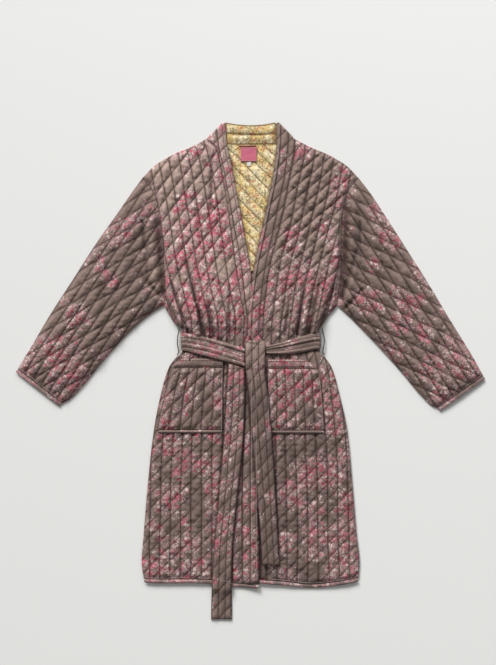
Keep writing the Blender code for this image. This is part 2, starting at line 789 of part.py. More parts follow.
def sleeve_outline(side):
    rows = RIGHT_ARM if side == "right" else LEFT_ARM
    count = 14
    outer = [Vector(arm_point(rows, "outer", k / float(count))) for k in range(count + 1)]
    under = [Vector(arm_point(rows, "under", k / float(count))) for k in range(count + 1)]
    gap = sign_of(side) * SEAM_GAP
    heights = side_heights(UNDERARM_Y, ARMHOLE_TOP_Y)[1:-1]
    armhole = [Vector((side_x(side, height) + gap, height)) for height in heights]
    first = [Vector((outer[0].x + gap, outer[0].y))]
    last = [Vector((under[0].x + gap, under[0].y))]
    points = first + outer[1:] + under[:0:-1] + last + armhole
    return [(point.x, point.y) for point in points]


def crossing_of_lines(angle_a, pitch_a, angle_b, pitch_b):
    """Where line i of one family of stitching meets line j of another."""
    a = Vector((-sin(angle_a), cos(angle_a)))
    b = Vector((-sin(angle_b), cos(angle_b)))
    det = a.x * b.y - a.y * b.x

    def place(i, j):
        p = i * pitch_a
        q = j * pitch_b
        return (p * b.y - q * a.y) / det, (q * a.x - p * b.x) / det

    return place


def make_sleeve(side):
    turn = sign_of(side)
    outline = sleeve_outline(side)
    along = radians(122.5 if side == "left" else 57.0)
    slanted = radians(155.0 if side == "left" else 30.0)
    lines = crossing_of_lines(along, PITCH, slanted, 0.0270)
    middle = Vector((turn * 0.370, 0.180))

    def place(i, j):
        x, y = lines(i, j)
        return x + middle.x, y + middle.y

    inner = WALL + SLEEVE_SLOT
    stack = inner + WALL
    sheet = quilted_sheet(place, (-8, 8), (-14, 14), stack, PUFF)
    cut = cut_mesh(sheet, prism(outline, -TALL, TALL), "INTERSECT")
    folds = RIGHT_SLEEVE_FOLDS if side == "right" else LEFT_SLEEVE_FOLDS
    laid = lay_sleeve(cut, outline, folds, stack)
    hollow = cut_mesh(laid, slot_mesh(side, folds, inner), "DIFFERENCE")
    bm = tidy_triangles(hollow)
    return add_object("sleeve_" + side, mesh_from(bm, "sleeve"), "print")


def lay_sleeve(mesh, outline, folds, stack):
    """The sleeve's upper layer, rounded down to the surface at both long edges."""
    bm = bmesh.new()
    bm.from_mesh(mesh)
    bmesh.ops.remove_doubles(bm, verts=bm.verts[:], dist=0.0001)
    flat = [face for face in bm.faces if abs(face.normal.z) > 0.9 and face.calc_center_median().z < 1e-5]
    bmesh.ops.dissolve_faces(bm, faces=flat)
    bmesh.ops.dissolve_degenerate(bm, edges=bm.edges[:], dist=0.0001)
    bmesh.ops.triangulate(bm, faces=bm.faces[:], quad_method="SHORT_EDGE", ngon_method="BEAUTY")
    for vertex in bm.verts:
        if vertex.co.z <= 0.0:
            continue
        x, y, level = vertex.co
        inside = soft_step(distance_to_outline(x, y, outline) / PINCH_REACH)
        lift = fold_height(x, y, folds) * inside
        padding = max(level - stack, 0.0)
        vertex.co.z = stack - 0.0008 * (1.0 - inside) + lift + padding * inside
    return mesh_from(bm, "sleeve")


def slot_mesh(side, folds, inner):
    """The flat space between the sleeve's two layers, open at the armhole and the cuff."""
    rows = RIGHT_ARM if side == "right" else LEFT_ARM
    turn = sign_of(side)
    end = (Vector((turn * 0.62, -0.79))).normalized() * 0.02
    start = Vector((-turn * 0.02, 0.0))
    count = 12
    across_count = 5
    rings = []
    for k in range(-1, count + 2):
        t = min(max(k / float(count), 0.0), 1.0)
        a = Vector(arm_point(rows, "outer", t))
        b = Vector(arm_point(rows, "under", t))
        if t == 0.0:
            a = Vector((side_x(side, ARMHOLE_TOP_Y - 0.010), ARMHOLE_TOP_Y - 0.010))
            b = Vector((side_x(side, UNDERARM_Y + 0.006), UNDERARM_Y + 0.006))
        shift = start if k < 0 else end if k > count else Vector((0.0, 0.0))
        inset = (b - a).normalized() * SLEEVE_SLOT_INSET
        a = a + inset + shift
        b = b - inset + shift
        top = []
        low = []
        for m in range(across_count + 1):
            at = a.lerp(b, m / float(across_count))
            lift = min(fold_height(at.x, at.y, folds) * 0.7, HIDDEN_FOLD_MAX)
            if m in (0, across_count):
                lift = 0.0
            top.append((at.x, at.y, inner + lift))
            low.append((at.x, at.y, WALL))
        rings.append(top + low[::-1])
    bm = bmesh.new()
    made = [[bm.verts.new(point) for point in ring] for ring in rings]
    for first, second in zip(made, made[1:]):
        for k in range(len(first)):
            n = (k + 1) % len(first)
            bm.faces.new((first[k], first[n], second[n], second[k]))
    bm.faces.new(made[0])
    bm.faces.new(made[-1][::-1])
    bmesh.ops.triangulate(bm, faces=bm.faces[:])
    return mesh_from(bm, "slot")


def make_cuff(side):
    """The binding sewn round the cuff's mouth, pressed flat with the sleeve."""
    rows = RIGHT_ARM if side == "right" else LEFT_ARM
    outer = Vector((rows[-1].outer_x, rows[-1].outer_y, 0.0))
    under = Vector((rows[-1].under_x, rows[-1].under_y, 0.0))
    across = (under - outer).normalized()
    away = across.cross(Vector((0.0, 0.0, 1.0)))
    if away.y > 0.0:
        away = -away
    tape = 0.0024
    high = WALL + SLEEVE_SLOT + WALL
    spacing = 10
    low_run = [outer.lerp(under, 0.015 + 0.97 * k / spacing) for k in range(spacing + 1)]
    path = [(point, tape / 2.0, -1.0) for point in low_run]
    path.append((under - across * 0.0010, high / 2.0 + 0.0003, 0.0))
    path += [(point, high - tape / 2.0 + 0.0012, 1.0) for point in low_run[::-1]]
    path.append((outer + across * 0.0010, high / 2.0 + 0.0003, 0.0))
    rings = []
    for k, (point, z, facing) in enumerate(path):
        out = Vector((0.0, 0.0, facing))
        if facing == 0.0:
            out = across if k < len(path) - 1 else -across
        centre = Vector((point.x, point.y, z))
        ring = []
        for reach, half in ((SEAM_GAP, 0.5), (CUFF_DEPTH * 0.85, 0.5), (CUFF_DEPTH, 0.0),
                            (CUFF_DEPTH * 0.85, -0.5), (SEAM_GAP, -0.5)):
            ring.append(centre + away * reach + out * (tape * half))
        rings.append(ring)
    return loft("cuff_" + side, rings, "binding", closed=True)


# Pockets

def make_pocket(side, front_tree):
    corners = RIGHT_POCKET if side == "right" else LEFT_POCKET
    turn = sign_of(side)
    top_y = max(corner.y for corner in corners)
    low_y = min(corner.y for corner in corners)
    body_top = top_y - POCKET_TOP_DEPTH
    body_low = low_y + POCKET_PIPING_DEPTH
    whole = [(corner.x, corner.y) for corner in corners]

    def place(i, j):
        x = i * PITCH
        return x + turn * 0.0120, j * DIAGONAL_STEP + x + 0.010

    sheet = quilted_sheet(place, (-11, 10), (-12, 12), WALL, POCKET_PUFF)
    quilted = cut_mesh(sheet, prism(whole, -TALL, TALL), "INTERSECT")
    room = 1.0
    box = [(-room, body_low), (room, body_low), (room, body_top), (-room, body_top)]
    body = cut_mesh(quilted, prism(box, -TALL, TALL), "INTERSECT")
    outline = clipped(whole, body_low, body_top)
    laid = lay_sheet(body, outline, [front_tree], POCKET_REACH, WALL, EDGE_WALL)
    pocket = add_object("pocket_" + side, laid, "print")
    top_low = body_top + SEAM_GAP
    top = pocket_strip("pocket_top_" + side, whole, top_low, top_y, front_tree, "print")
    piping_top = body_low - SEAM_GAP
    piping = pocket_strip("pocket_piping_" + side, whole, low_y, piping_top, front_tree, "binding",
                          POCKET_PIPING_DEPTH)
    return pocket, top, piping


def clipped(outline, low, high):
    """The part of a convex outline between two heights."""
    for limit, keep in ((low, 1.0), (high, -1.0)):
        kept = []
        for (x1, y1), (x2, y2) in zip(outline, outline[1:] + outline[:1]):
            inside1 = (y1 - limit) * keep >= 0.0
            inside2 = (y2 - limit) * keep >= 0.0
            if inside1:
                kept.append((x1, y1))
            if inside1 != inside2:
                t = (limit - y1) / (y2 - y1)
                kept.append((x1 + (x2 - x1) * t, limit))
        outline = kept
    return outline


def span_at(outline, y):
    xs = []
    for (x1, y1), (x2, y2) in zip(outline, outline[1:] + outline[:1]):
        if (y1 - y) * (y2 - y) < 0.0:
            xs.append(x1 + (x2 - x1) * (y - y1) / (y2 - y1))
    return min(xs), max(xs)


def pocket_strip(name, whole, low, high, tree, finish, depth=None):
    """The folded top of a pocket, or the piping along its foot, laid across the front."""
    x1, x2 = span_at(whole, low + 0.0001 if depth is None else high)
    rings = []
    for x in steps(x1, x2, 0.016):
        top_here = high
        if depth is None:
            top_here = min(high, top_at(whole, x)) - 0.0002
        low_here = low if depth is None else high - depth

        def ground(at):
            return rest_height(at.x, at.y, [tree], POCKET_STRIP_REACH) + SEAM_GAP

        a = Vector((x, low_here, 0.0))
        b = Vector((x, max(top_here, low_here + 0.004), 0.0))
        rings.append(strip_ring(a, b, ground, WALL, 1, POCKET_STRIP_PUFF))
    return loft(name, rings, finish)


def top_at(outline, x):
    ys = []
    for (x1, y1), (x2, y2) in zip(outline, outline[1:] + outline[:1]):
        if (x1 - x) * (x2 - x) <= 0.0 and x1 != x2:
            ys.append(y1 + (y2 - y1) * (x - x1) / (x2 - x1))
    return max(ys)


# Belt

def make_belt_back():
    low = BELT_BACK_Y - BELT_WIDTH / 2.0
    high = BELT_BACK_Y + BELT_WIDTH / 2.0
    reach = BELT_BACK_REACH - SEAM_GAP
    outline = [(-reach, low), (reach, low), (reach, high), (-reach, high)]
    return add_object("belt_back", prism(outline, 0.0, BELT_WALL - SEAM_GAP), "print")


def strip_rings(rows, trees, spacing, ridges, puff, reach, extra=0.0):
    """Sections of a belt run laid on what is beneath it."""
    places = [k / (len(rows) - 1.0) for k in range(len(rows))]

    def edge(name, t):
        x = read_curve(places, column(rows, name + "x"), t)
        y = read_curve(places, column(rows, name + "y"), t)
        return Vector((x, y, 0.0))

    first = Vector((rows[0].ax + rows[0].bx, rows[0].ay + rows[0].by)) / 2.0
    last = Vector((rows[-1].ax + rows[-1].bx, rows[-1].ay + rows[-1].by)) / 2.0
    count = max(2, int(round((last - first).length / spacing)))
    rings = []
    for k in range(count + 1):
        t = k / float(count)

        def ground(at):
            if not trees:
                return 0.0
            return rest_height(at.x, at.y, trees, reach) + SEAM_GAP + extra

        rings.append(strip_ring(edge("a", t), edge("b", t), ground, BELT_WALL, ridges, puff))
    return rings


def side_turn(side, ring):
    """The belt comes round the body's side from under the back to the front."""
    turn = sign_of(side)
    start_x = turn * (BELT_BACK_REACH + SEAM_GAP)
    count = len(ring)
    top_count = count - 3
    y_a = ring[0].y
    y_b = ring[top_count - 1].y
    z_top = min(point.z for point in ring[top_count:])
    inner_x = turn * (max(abs(side_x(side, y)) for y in steps(0.046, 0.092, 0.004)) + 0.0012)
    places = (
        # centre of the wall: across, up, and the way that its outer face looks
        (start_x, BELT_WALL * 0.5, Vector((0.0, 0.0, -1.0))),
        (inner_x - turn * 0.0010, BELT_WALL * 0.55, Vector((turn * 0.5, 0.0, -0.85))),
        (inner_x + turn * 0.0014, BELT_WALL * 0.9 + 0.0016, Vector((turn, 0.0, 0.0))),
        (inner_x + turn * 0.0014, z_top * 0.75, Vector((turn, 0.0, 0.0))),
        (inner_x - turn * 0.0004, z_top + BELT_WALL * 0.45, Vector((turn * 0.6, 0.0, 0.8))),
    )
    rings = []
    half = BELT_WALL * 0.46
    for k, (x, z, out) in enumerate(places):
        share = k / float(len(places))
        low_a = BELT_BACK_Y + (BELT_WIDTH / 2.0 if y_a > y_b else -BELT_WIDTH / 2.0)
        low_b = 2.0 * BELT_BACK_Y - low_a
        a = low_a + (y_a - low_a) * share
        b = low_b + (y_b - low_b) * share
        made = []
        for m in range(top_count):
            y = a + (b - a) * m / (top_count - 1.0)
            made.append(Vector((x, y, z)) + out * half)
        for t in (1.0, 0.5, 0.0):
            y = a + (b - a) * t
            made.append(Vector((x, y, z)) - out * half)
        rings.append(made)
    return rings


def make_belt_arm(side, trees):
    rows = RIGHT_ARM_OF_BELT if side == "right" else LEFT_ARM_OF_BELT
    rings = strip_rings(rows, trees, 0.018, 3, BELT_ARM_PUFF, BELT_ARM_REACH)
    return loft("belt_" + side, side_turn(side, rings[0]) + rings, "print")


def make_belt_end(side, trees):
    rows = RIGHT_BELT_END if side == "right" else LEFT_BELT_END
    rings = strip_rings(rows, trees, 0.024, 2, BELT_END_PUFF, BELT_END_REACH, 0.0003)
    return loft("belt_end_" + side, rings, "print")


def make_knot(trees):
    rings = strip_rings(KNOT_WRAP, trees, 0.009, 3, KNOT_PUFF, KNOT_REACH, 0.0002)
    middle = sum(ring[0].y for ring in rings) / len(rings)
    reach = max(abs(ring[0].y - middle) for ring in rings)
    for ring in rings:
        swell = soft_step(1.15 - abs(ring[0].y - middle) / reach)
        for point in ring[:-3]:
            point.z += KNOT_SWELL * swell
    return loft("belt_knot", rings, "print")


def make_belt_loop(side, level):
    """A thread loop at the side seam, round the outside of the belt."""
    turn = sign_of(side)
    clear = THREAD_RADIUS + SEAM_GAP + BELT_LOOP_CLEARANCE
    points = []
    for k in range(9):
        t = k / 8.0
        height = BELT_LOOP_TOP_Y + (BELT_LOOP_FOOT_Y - BELT_LOOP_TOP_Y) * t
        if k in (0, 8):
            x = abs(side_x(side, height)) + clear
        else:
            waist = abs(side_x(side, BELT_BACK_Y))
            x = max(waist + BELT_LOOP_BOW * sin(pi * t) ** 0.5, abs(side_x(side, height)) + clear)
        points.append((turn * x, height, level))
    curve = bpy.data.curves.new("belt_loop_" + side, "CURVE")
    curve.dimensions = "3D"
    curve.bevel_depth = THREAD_RADIUS
    curve.bevel_resolution = 1
    curve.use_fill_caps = True
    spline = curve.splines.new("POLY")
    spline.points.add(len(points) - 1)
    for made, point in zip(spline.points, points):
        made.co = (*point, 1.0)
    curve.materials.append(material("thread"))
    piece = bpy.data.objects.new("belt_loop_" + side, curve)
    PARTS.objects.link(piece)
    return piece


# Label, size tab and hanging loop

def make_patch(name, centre, size, trees, finish):
    ground = rest_height(centre[0], centre[1], trees, Reach(size[0] / 2.0, size[1] / 2.0)) + SEAM_GAP
    bpy.ops.mesh.primitive_cube_add(size=1.0, location=(centre[0], centre[1], ground + TRIM_WALL / 2.0))
    piece = bpy.context.object
    piece.name = name
    piece.scale = (size[0], size[1], TRIM_WALL)
    bpy.ops.object.transform_apply(location=True, rotation=True, scale=True)
    for old in list(piece.users_collection):
        old.objects.unlink(piece)
    PARTS.objects.link(piece)
    piece.data.name = name
    piece.data.materials.append(material(finish))
    return piece


def make_hanging_loop(trees):
    x, y = LOOP_CENTRE
    ground = rest_height(x, y, trees, Reach(LOOP_LENGTH / 2.0, 0.003)) + SEAM_GAP
    rings = []
    sides = 8
    for k in range(7):
        t = k / 6.0
        along = x + (t - 0.5) * LOOP_LENGTH
        rise = ground + LOOP_RADIUS * 0.7
        ring = []
        for m in range(sides):
            turn = 2.0 * pi * m / sides
            ring.append(Vector((along, y + LOOP_RADIUS * cos(turn), rise + LOOP_RADIUS * 0.68 * sin(turn))))
        rings.append(ring)
    return loft("hang_loop", rings, "hanger")


def build():
    make_belt_back()
    back = make_back()
    back_tree = surface_tree(back)
    lining = make_lining([back_tree])
    lining_tree = surface_tree(lining)
    collar = make_collar()
    hem_back = make_hem("hem_back", steps(side_x("right", BACK_HEM_Y), side_x("left", BACK_HEM_Y), 0.040),
                        lambda x: BACK_HEM_Y, [], WALL)
    hem_trees = [back_tree, surface_tree(hem_back)]
    hem_left = make_hem("hem_left", hem_places("left")[::-1], lambda x: hem_y("left", x),
                        hem_trees, FRONT_HEM_WALL)
    hem_left_tree = surface_tree(hem_left)
    hem_right = make_hem("hem_right", hem_places("right"), lambda x: hem_y("right", x),
                         hem_trees + [hem_left_tree], FRONT_HEM_WALL)
    under = hem_trees + [lining_tree, surface_tree(collar)]
    fronts = {side: make_front(side, under) for side in ("right", "left")}
    right_band, left_band = make_bands(under, hem_left_tree)
    bands = [surface_tree(right_band), surface_tree(left_band)]
    for side in ("right", "left"):
        make_sleeve(side)
        make_cuff(side)
    laid = [surface_tree(fronts["right"]), surface_tree(fronts["left"])] + bands
    laid += [surface_tree(hem_right), hem_left_tree]
    pockets = []
    for side in ("right", "left"):
        pockets += [surface_tree(piece) for piece in make_pocket(side, surface_tree(fronts[side]))]
    laid += pockets
    arms = [surface_tree(make_belt_arm(side, laid)) for side in ("right", "left")]
    make_knot(laid + arms)
    for side in ("right", "left"):
        make_belt_end(side, laid)
        make_belt_loop(side, BELT_LOOP_LEVEL)
    label = make_patch("label", LABEL_CENTRE, LABEL_SIZE, [lining_tree], "label")
    make_patch("size_tab", TAB_CENTRE, TAB_SIZE, [lining_tree], "tab")
    make_hanging_loop([lining_tree, surface_tree(label)])


clear_scene()
PARTS = bpy.data.collections.new("quilted_wrap_long_jacket")
CUTTERS = bpy.data.collections.new("cutters")
bpy.context.scene.collection.children.link(PARTS)
bpy.context.scene.collection.children.link(CUTTERS)
build()
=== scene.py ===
"""Looks of the long quilted wrap jacket, laid flat on its back on a white surface.

X runs across the jacket, Y from hem to collar, Z up, in metres. "right" and "left" are
the wearer's own, so the right front lies at negative X.
"""

import json
from math import pi

import bmesh
import bpy
import numpy as np
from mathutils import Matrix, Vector
from mathutils.bvhtree import BVHTree

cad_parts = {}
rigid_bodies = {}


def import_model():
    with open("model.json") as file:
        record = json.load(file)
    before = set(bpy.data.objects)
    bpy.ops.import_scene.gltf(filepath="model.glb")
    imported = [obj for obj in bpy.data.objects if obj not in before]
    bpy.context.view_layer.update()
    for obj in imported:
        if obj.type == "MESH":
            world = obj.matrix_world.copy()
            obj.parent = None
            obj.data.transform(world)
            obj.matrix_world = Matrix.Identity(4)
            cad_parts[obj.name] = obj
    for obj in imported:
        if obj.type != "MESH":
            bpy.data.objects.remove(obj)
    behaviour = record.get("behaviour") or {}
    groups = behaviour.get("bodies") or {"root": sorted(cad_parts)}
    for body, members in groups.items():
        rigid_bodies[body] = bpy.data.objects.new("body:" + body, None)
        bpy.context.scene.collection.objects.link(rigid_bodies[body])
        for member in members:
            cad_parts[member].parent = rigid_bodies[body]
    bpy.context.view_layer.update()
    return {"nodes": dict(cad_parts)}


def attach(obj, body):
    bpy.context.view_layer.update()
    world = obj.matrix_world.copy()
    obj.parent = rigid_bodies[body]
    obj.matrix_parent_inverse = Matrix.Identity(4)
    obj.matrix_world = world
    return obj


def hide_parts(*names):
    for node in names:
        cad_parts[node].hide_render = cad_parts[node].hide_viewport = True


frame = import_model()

nodes = frame["nodes"]


# Floor, light and camera.
# The jacket lies on a white table, lit softly from beyond its collar, and the camera
# looks straight down on it.

camera = bpy.data.objects.new("camera", bpy.data.cameras.new("camera"))
bpy.context.scene.collection.objects.link(camera)
camera_height = 3.0
seen_length = 1.5295
camera.location = (-0.00575, 0.0874, camera_height)
camera.data.sensor_width = 36.0
camera.data.lens = camera.data.sensor_width * camera_height / seen_length
bpy.context.scene.camera = camera

floor_mesh = bpy.data.meshes.new("floor")
reach = 6.0
floor_mesh.from_pydata([(-reach, -reach, 0.0), (reach, -reach, 0.0),
                        (reach, reach, 0.0), (-reach, reach, 0.0)], [], [(0, 1, 2, 3)])
floor = bpy.data.objects.new("floor", floor_mesh)
bpy.context.scene.collection.objects.link(floor)
floor.location.z = -0.0004
floor_look = bpy.data.materials.new("floor")
floor_look.use_nodes = True
floor_look.node_tree.nodes["Principled BSDF"].inputs["Base Color"].default_value = (0.84, 0.84, 0.83, 1.0)
floor_look.node_tree.nodes["Principled BSDF"].inputs["Roughness"].default_value = 0.9
floor_mesh.materials.append(floor_look)


def soft_light(name, place, size, power, colour):
    light = bpy.data.objects.new(name, bpy.data.lights.new(name, "AREA"))
    light.data.shape = "DISK"
    light.data.size = size
    light.data.energy = power
    light.data.color = colour
    light.location = place
    light.rotation_euler = (Vector((0.0, 0.05, 0.0)) - Vector(place)).to_track_quat("-Z", "Y").to_euler()
    bpy.context.scene.collection.objects.link(light)


soft_light("window", (0.9, 4.4, 2.2), 2.6, 100.0, (0.97, 0.99, 1.0))
daylight = bpy.data.objects.new("daylight", bpy.data.lights.new("daylight", "SUN"))
daylight.data.energy = 3.75
daylight.data.angle = 0.36
daylight.data.color = (1.0, 0.995, 0.98)
daylight.rotation_euler = Vector((0.36, -0.83, -0.42)).to_track_quat("-Z", "Y").to_euler()
bpy.context.scene.collection.objects.link(daylight)
world = bpy.data.worlds.new("room")
world.use_nodes = True
world.node_tree.nodes["Background"].inputs["Color"].default_value = (0.95, 0.94, 0.92, 1.0)
world.node_tree.nodes["Background"].inputs["Strength"].default_value = 0.28
bpy.context.scene.world = world
bpy.context.scene.view_settings.view_transform = "Standard"


# Fronts.
# Two long panels of printed cotton, padded and quilted with lines along the cloth and
# lines at 45 degrees, sewn to the back at shoulders and sides.

class Value:
    """A number that changes over the cloth. Sums on it become the shader's own."""

    def __init__(self, finish, socket):
        self.finish = finish
        self.socket = socket

    def sum_of(self, operation, first, second=0.0):
        return self.finish.node("ShaderNodeMath", {"operation": operation}, {0: first, 1: second})

    def __add__(self, other):
        return self.sum_of("ADD", self, other)

    def __radd__(self, other):
        return self.sum_of("ADD", other, self)

    def __sub__(self, other):
        return self.sum_of("SUBTRACT", self, other)

    def __rsub__(self, other):
        return self.sum_of("SUBTRACT", other, self)

    def __mul__(self, other):
        return self.sum_of("MULTIPLY", self, other)

    def __rmul__(self, other):
        return self.sum_of("MULTIPLY", other, self)


class Finish:
    """A material for cloth, with one method that adds any node. Colours are red, green, blue."""

    def __init__(self, name, roughness, sheen=0.0):
        self.made = bpy.data.materials.new(name)
        self.made.use_nodes = True
        self.tree = self.made.node_tree
        self.shader = self.tree.nodes["Principled BSDF"]
        self.shader.inputs["Roughness"].default_value = roughness
        self.shader.inputs["Specular IOR Level"].default_value = 0.17
        self.shader.inputs["Sheen Weight"].default_value = sheen
        self.shader.inputs["Sheen Roughness"].default_value = 0.5

    def node(self, kind, settings, values, output=0):
        made = self.tree.nodes.new(kind)
        for name, setting in settings.items():
            if name == "stops":
                ramp = made.color_ramp
                while len(ramp.elements) < len(setting):
                    ramp.elements.new(1.0)
                for element, (place, colour) in zip(ramp.elements, setting):
                    element.position = place
                    element.color = (*colour, 1.0)
            elif name == "interpolation":
                made.color_ramp.interpolation = setting
            else:
                setattr(made, name, setting)
        for name, value in values.items():
            self.join(value, made.inputs[name])
        return Value(self, made.outputs[output])

    def join(self, value, socket):
        if isinstance(value, Value):
            self.tree.links.new(value.socket, socket)
        else:
            socket.default_value = (*value, 1.0) if socket.type == "RGBA" else value

    def other(self, value, output):
        """Another output of the node that made a value."""
        return Value(self, value.socket.node.outputs[output])

    def blend(self, share, first, second, mode="MIX"):
        return self.node("ShaderNodeMix", {"data_type": "RGBA", "blend_type": mode},
                         {0: share, 6: first, 7: second}, 2)

    def one_of(self, shades, chance):
        """One of a few plain colours, each from its own share of the chances up."""
        return self.node("ShaderNodeValToRGB", {"interpolation": "CONSTANT", "stops": shades},
                         {0: chance})

    def mark(self, name):
        """A number that the mesh holds at each of its points."""
        return self.node("ShaderNodeAttribute", {"attribute_name": name}, {}, "Fac")

    def measure(self, name):
        """One of the two measures that lie on the cloth: its own metres, or its stitch lines."""
        return self.node("ShaderNodeUVMap", {"uv_map": name}, {})

    def between(self, value, low, high):
        """0 below low, 1 above high, with soft ends."""
        return self.node("ShaderNodeMapRange", {"interpolation_type": "SMOOTHSTEP"},
                         {"Value": value, "From Min": low, "From Max": high})

    def parts(self, vector):
        x = self.node("ShaderNodeSeparateXYZ", {}, {0: vector})
        return x, self.other(x, 1), self.other(x, 2)

    def apart(self, first, second):
        return self.node("ShaderNodeVectorMath", {"operation": "SUBTRACT"}, {0: first, 1: second})

    def length(self, vector):
        return self.node("ShaderNodeVectorMath", {"operation": "LENGTH"}, {0: vector}, 1)

    def noise(self, vector, per_metre, detail=2.0):
        return self.node("ShaderNodeTexNoise", {"noise_dimensions": "2D"},
                         {"Vector": vector, "Scale": per_metre, "Detail": detail})

    def motifs(self, place, spacing, petals, radius, depth):
        """Small flowers: a mask, and the centre and three random numbers of each."""
        cell = self.node("ShaderNodeTexVoronoi", {"voronoi_dimensions": "2D", "feature": "F1"},
                         {"Vector": place, "Scale": 1.0 / spacing, "Randomness": 0.9})
        centre = self.other(cell, "Position")
        chance = self.parts(self.other(cell, "Color"))
        away = self.apart(place, centre)
        x, y, _ = self.parts(away)
        turn = cell.sum_of("ARCTAN2", y, x) * petals + chance[2] * (2.0 * pi)
        reach = radius * (0.6 + 0.75 * chance[0]) * ((1.0 - depth) + depth * cell.sum_of("COSINE", turn))
        return self.between(reach - self.length(away), -0.0005, 0.0009), centre, chance


def stitched(cloth, colour, lines, place, shade_colour):
    """Paints shade along fine wrinkles, along the crease lines and edges the mesh marks, over the valleys
    beside the stitch lines and deepest in the pinched lines; sinks the stitch lines, adds the weave, and
    joins all to the shader.
    """
    stitches_a_cell, thread_turns, weave_depth = 9.0, 5200.0, 0.00012
    along, across, _ = cloth.parts(lines)
    off_a, off_b = (along.sum_of("PINGPONG", line, 0.5) for line in (along, across))
    nearest = along.sum_of("MINIMUM", off_a, off_b * 1.3)
    groove = 1.0 - cloth.between(nearest, 0.008, 0.045)
    shade = 1.0 - cloth.between(nearest, 0.0, 0.22)
    winding = cloth.noise(place, 46.0, 2.0) - 0.5
    crinkles = 1.0 - cloth.between(along.sum_of("ABSOLUTE", winding), 0.0, 0.04)
    crinkles = crinkles * cloth.between(cloth.noise(place, 24.0, 1.0), 0.42, 0.56)
    creases = cloth.mark("creases")
    # Painted shade in the colour given for it: along fine wrinkles, along the marked crease lines and
    # edges, over the valleys near each stitch line, and darkest in the pinched line itself.
    colour = cloth.blend(crinkles * 0.3, colour, shade_colour)
    colour = cloth.blend(creases * 0.9, colour, shade_colour)
    colour = cloth.blend(shade * 0.53, colour, shade_colour)
    colour = cloth.blend(groove * 0.84, colour, shade_colour)
    on_a = 1.0 - cloth.between(off_a, 0.01, 0.018)
    on_b = 1.0 - cloth.between(off_b, 0.008, 0.014)
    dash_a, dash_b = (cloth.between(along.sum_of("PINGPONG", line * stitches_a_cell, 0.5), 0.09, 0.15)
                      for line in (across, along))
    stitch = along.sum_of("MAXIMUM", on_a * dash_a, on_b * dash_b)
    colour = cloth.blend(stitch * 0.3, colour, (0.21, 0.14, 0.125))
    x, y, _ = cloth.parts(place)
    threads = x.sum_of("SINE", x * thread_turns) * x.sum_of("SINE", y * thread_turns)
    slubs = cloth.noise(place, 420.0, 2.0)
    puckers = cloth.noise(place, 130.0, 2.0) * shade
    crumples = cloth.noise(place, 75.0, 3.0)
    height = threads * 0.35 + slubs + puckers * 5.0 + crumples * 14.0 + stitch * 1.5 - groove * 3.0
    height = height - crinkles * 4.0
    bump = cloth.node("ShaderNodeBump", {}, {"Height": height, "Strength": 0.8, "Distance": weave_depth})
    cloth.join(colour, cloth.shader.inputs["Base Color"])
    cloth.join(bump, cloth.shader.inputs["Normal"])
    cloth.join(0.78 + 0.16 * slubs, cloth.shader.inputs["Roughness"])
    return cloth.made


def toned(colour, share):
    """A colour made lighter, or darker where the share is below 1."""
    return tuple(part * share for part in colour)


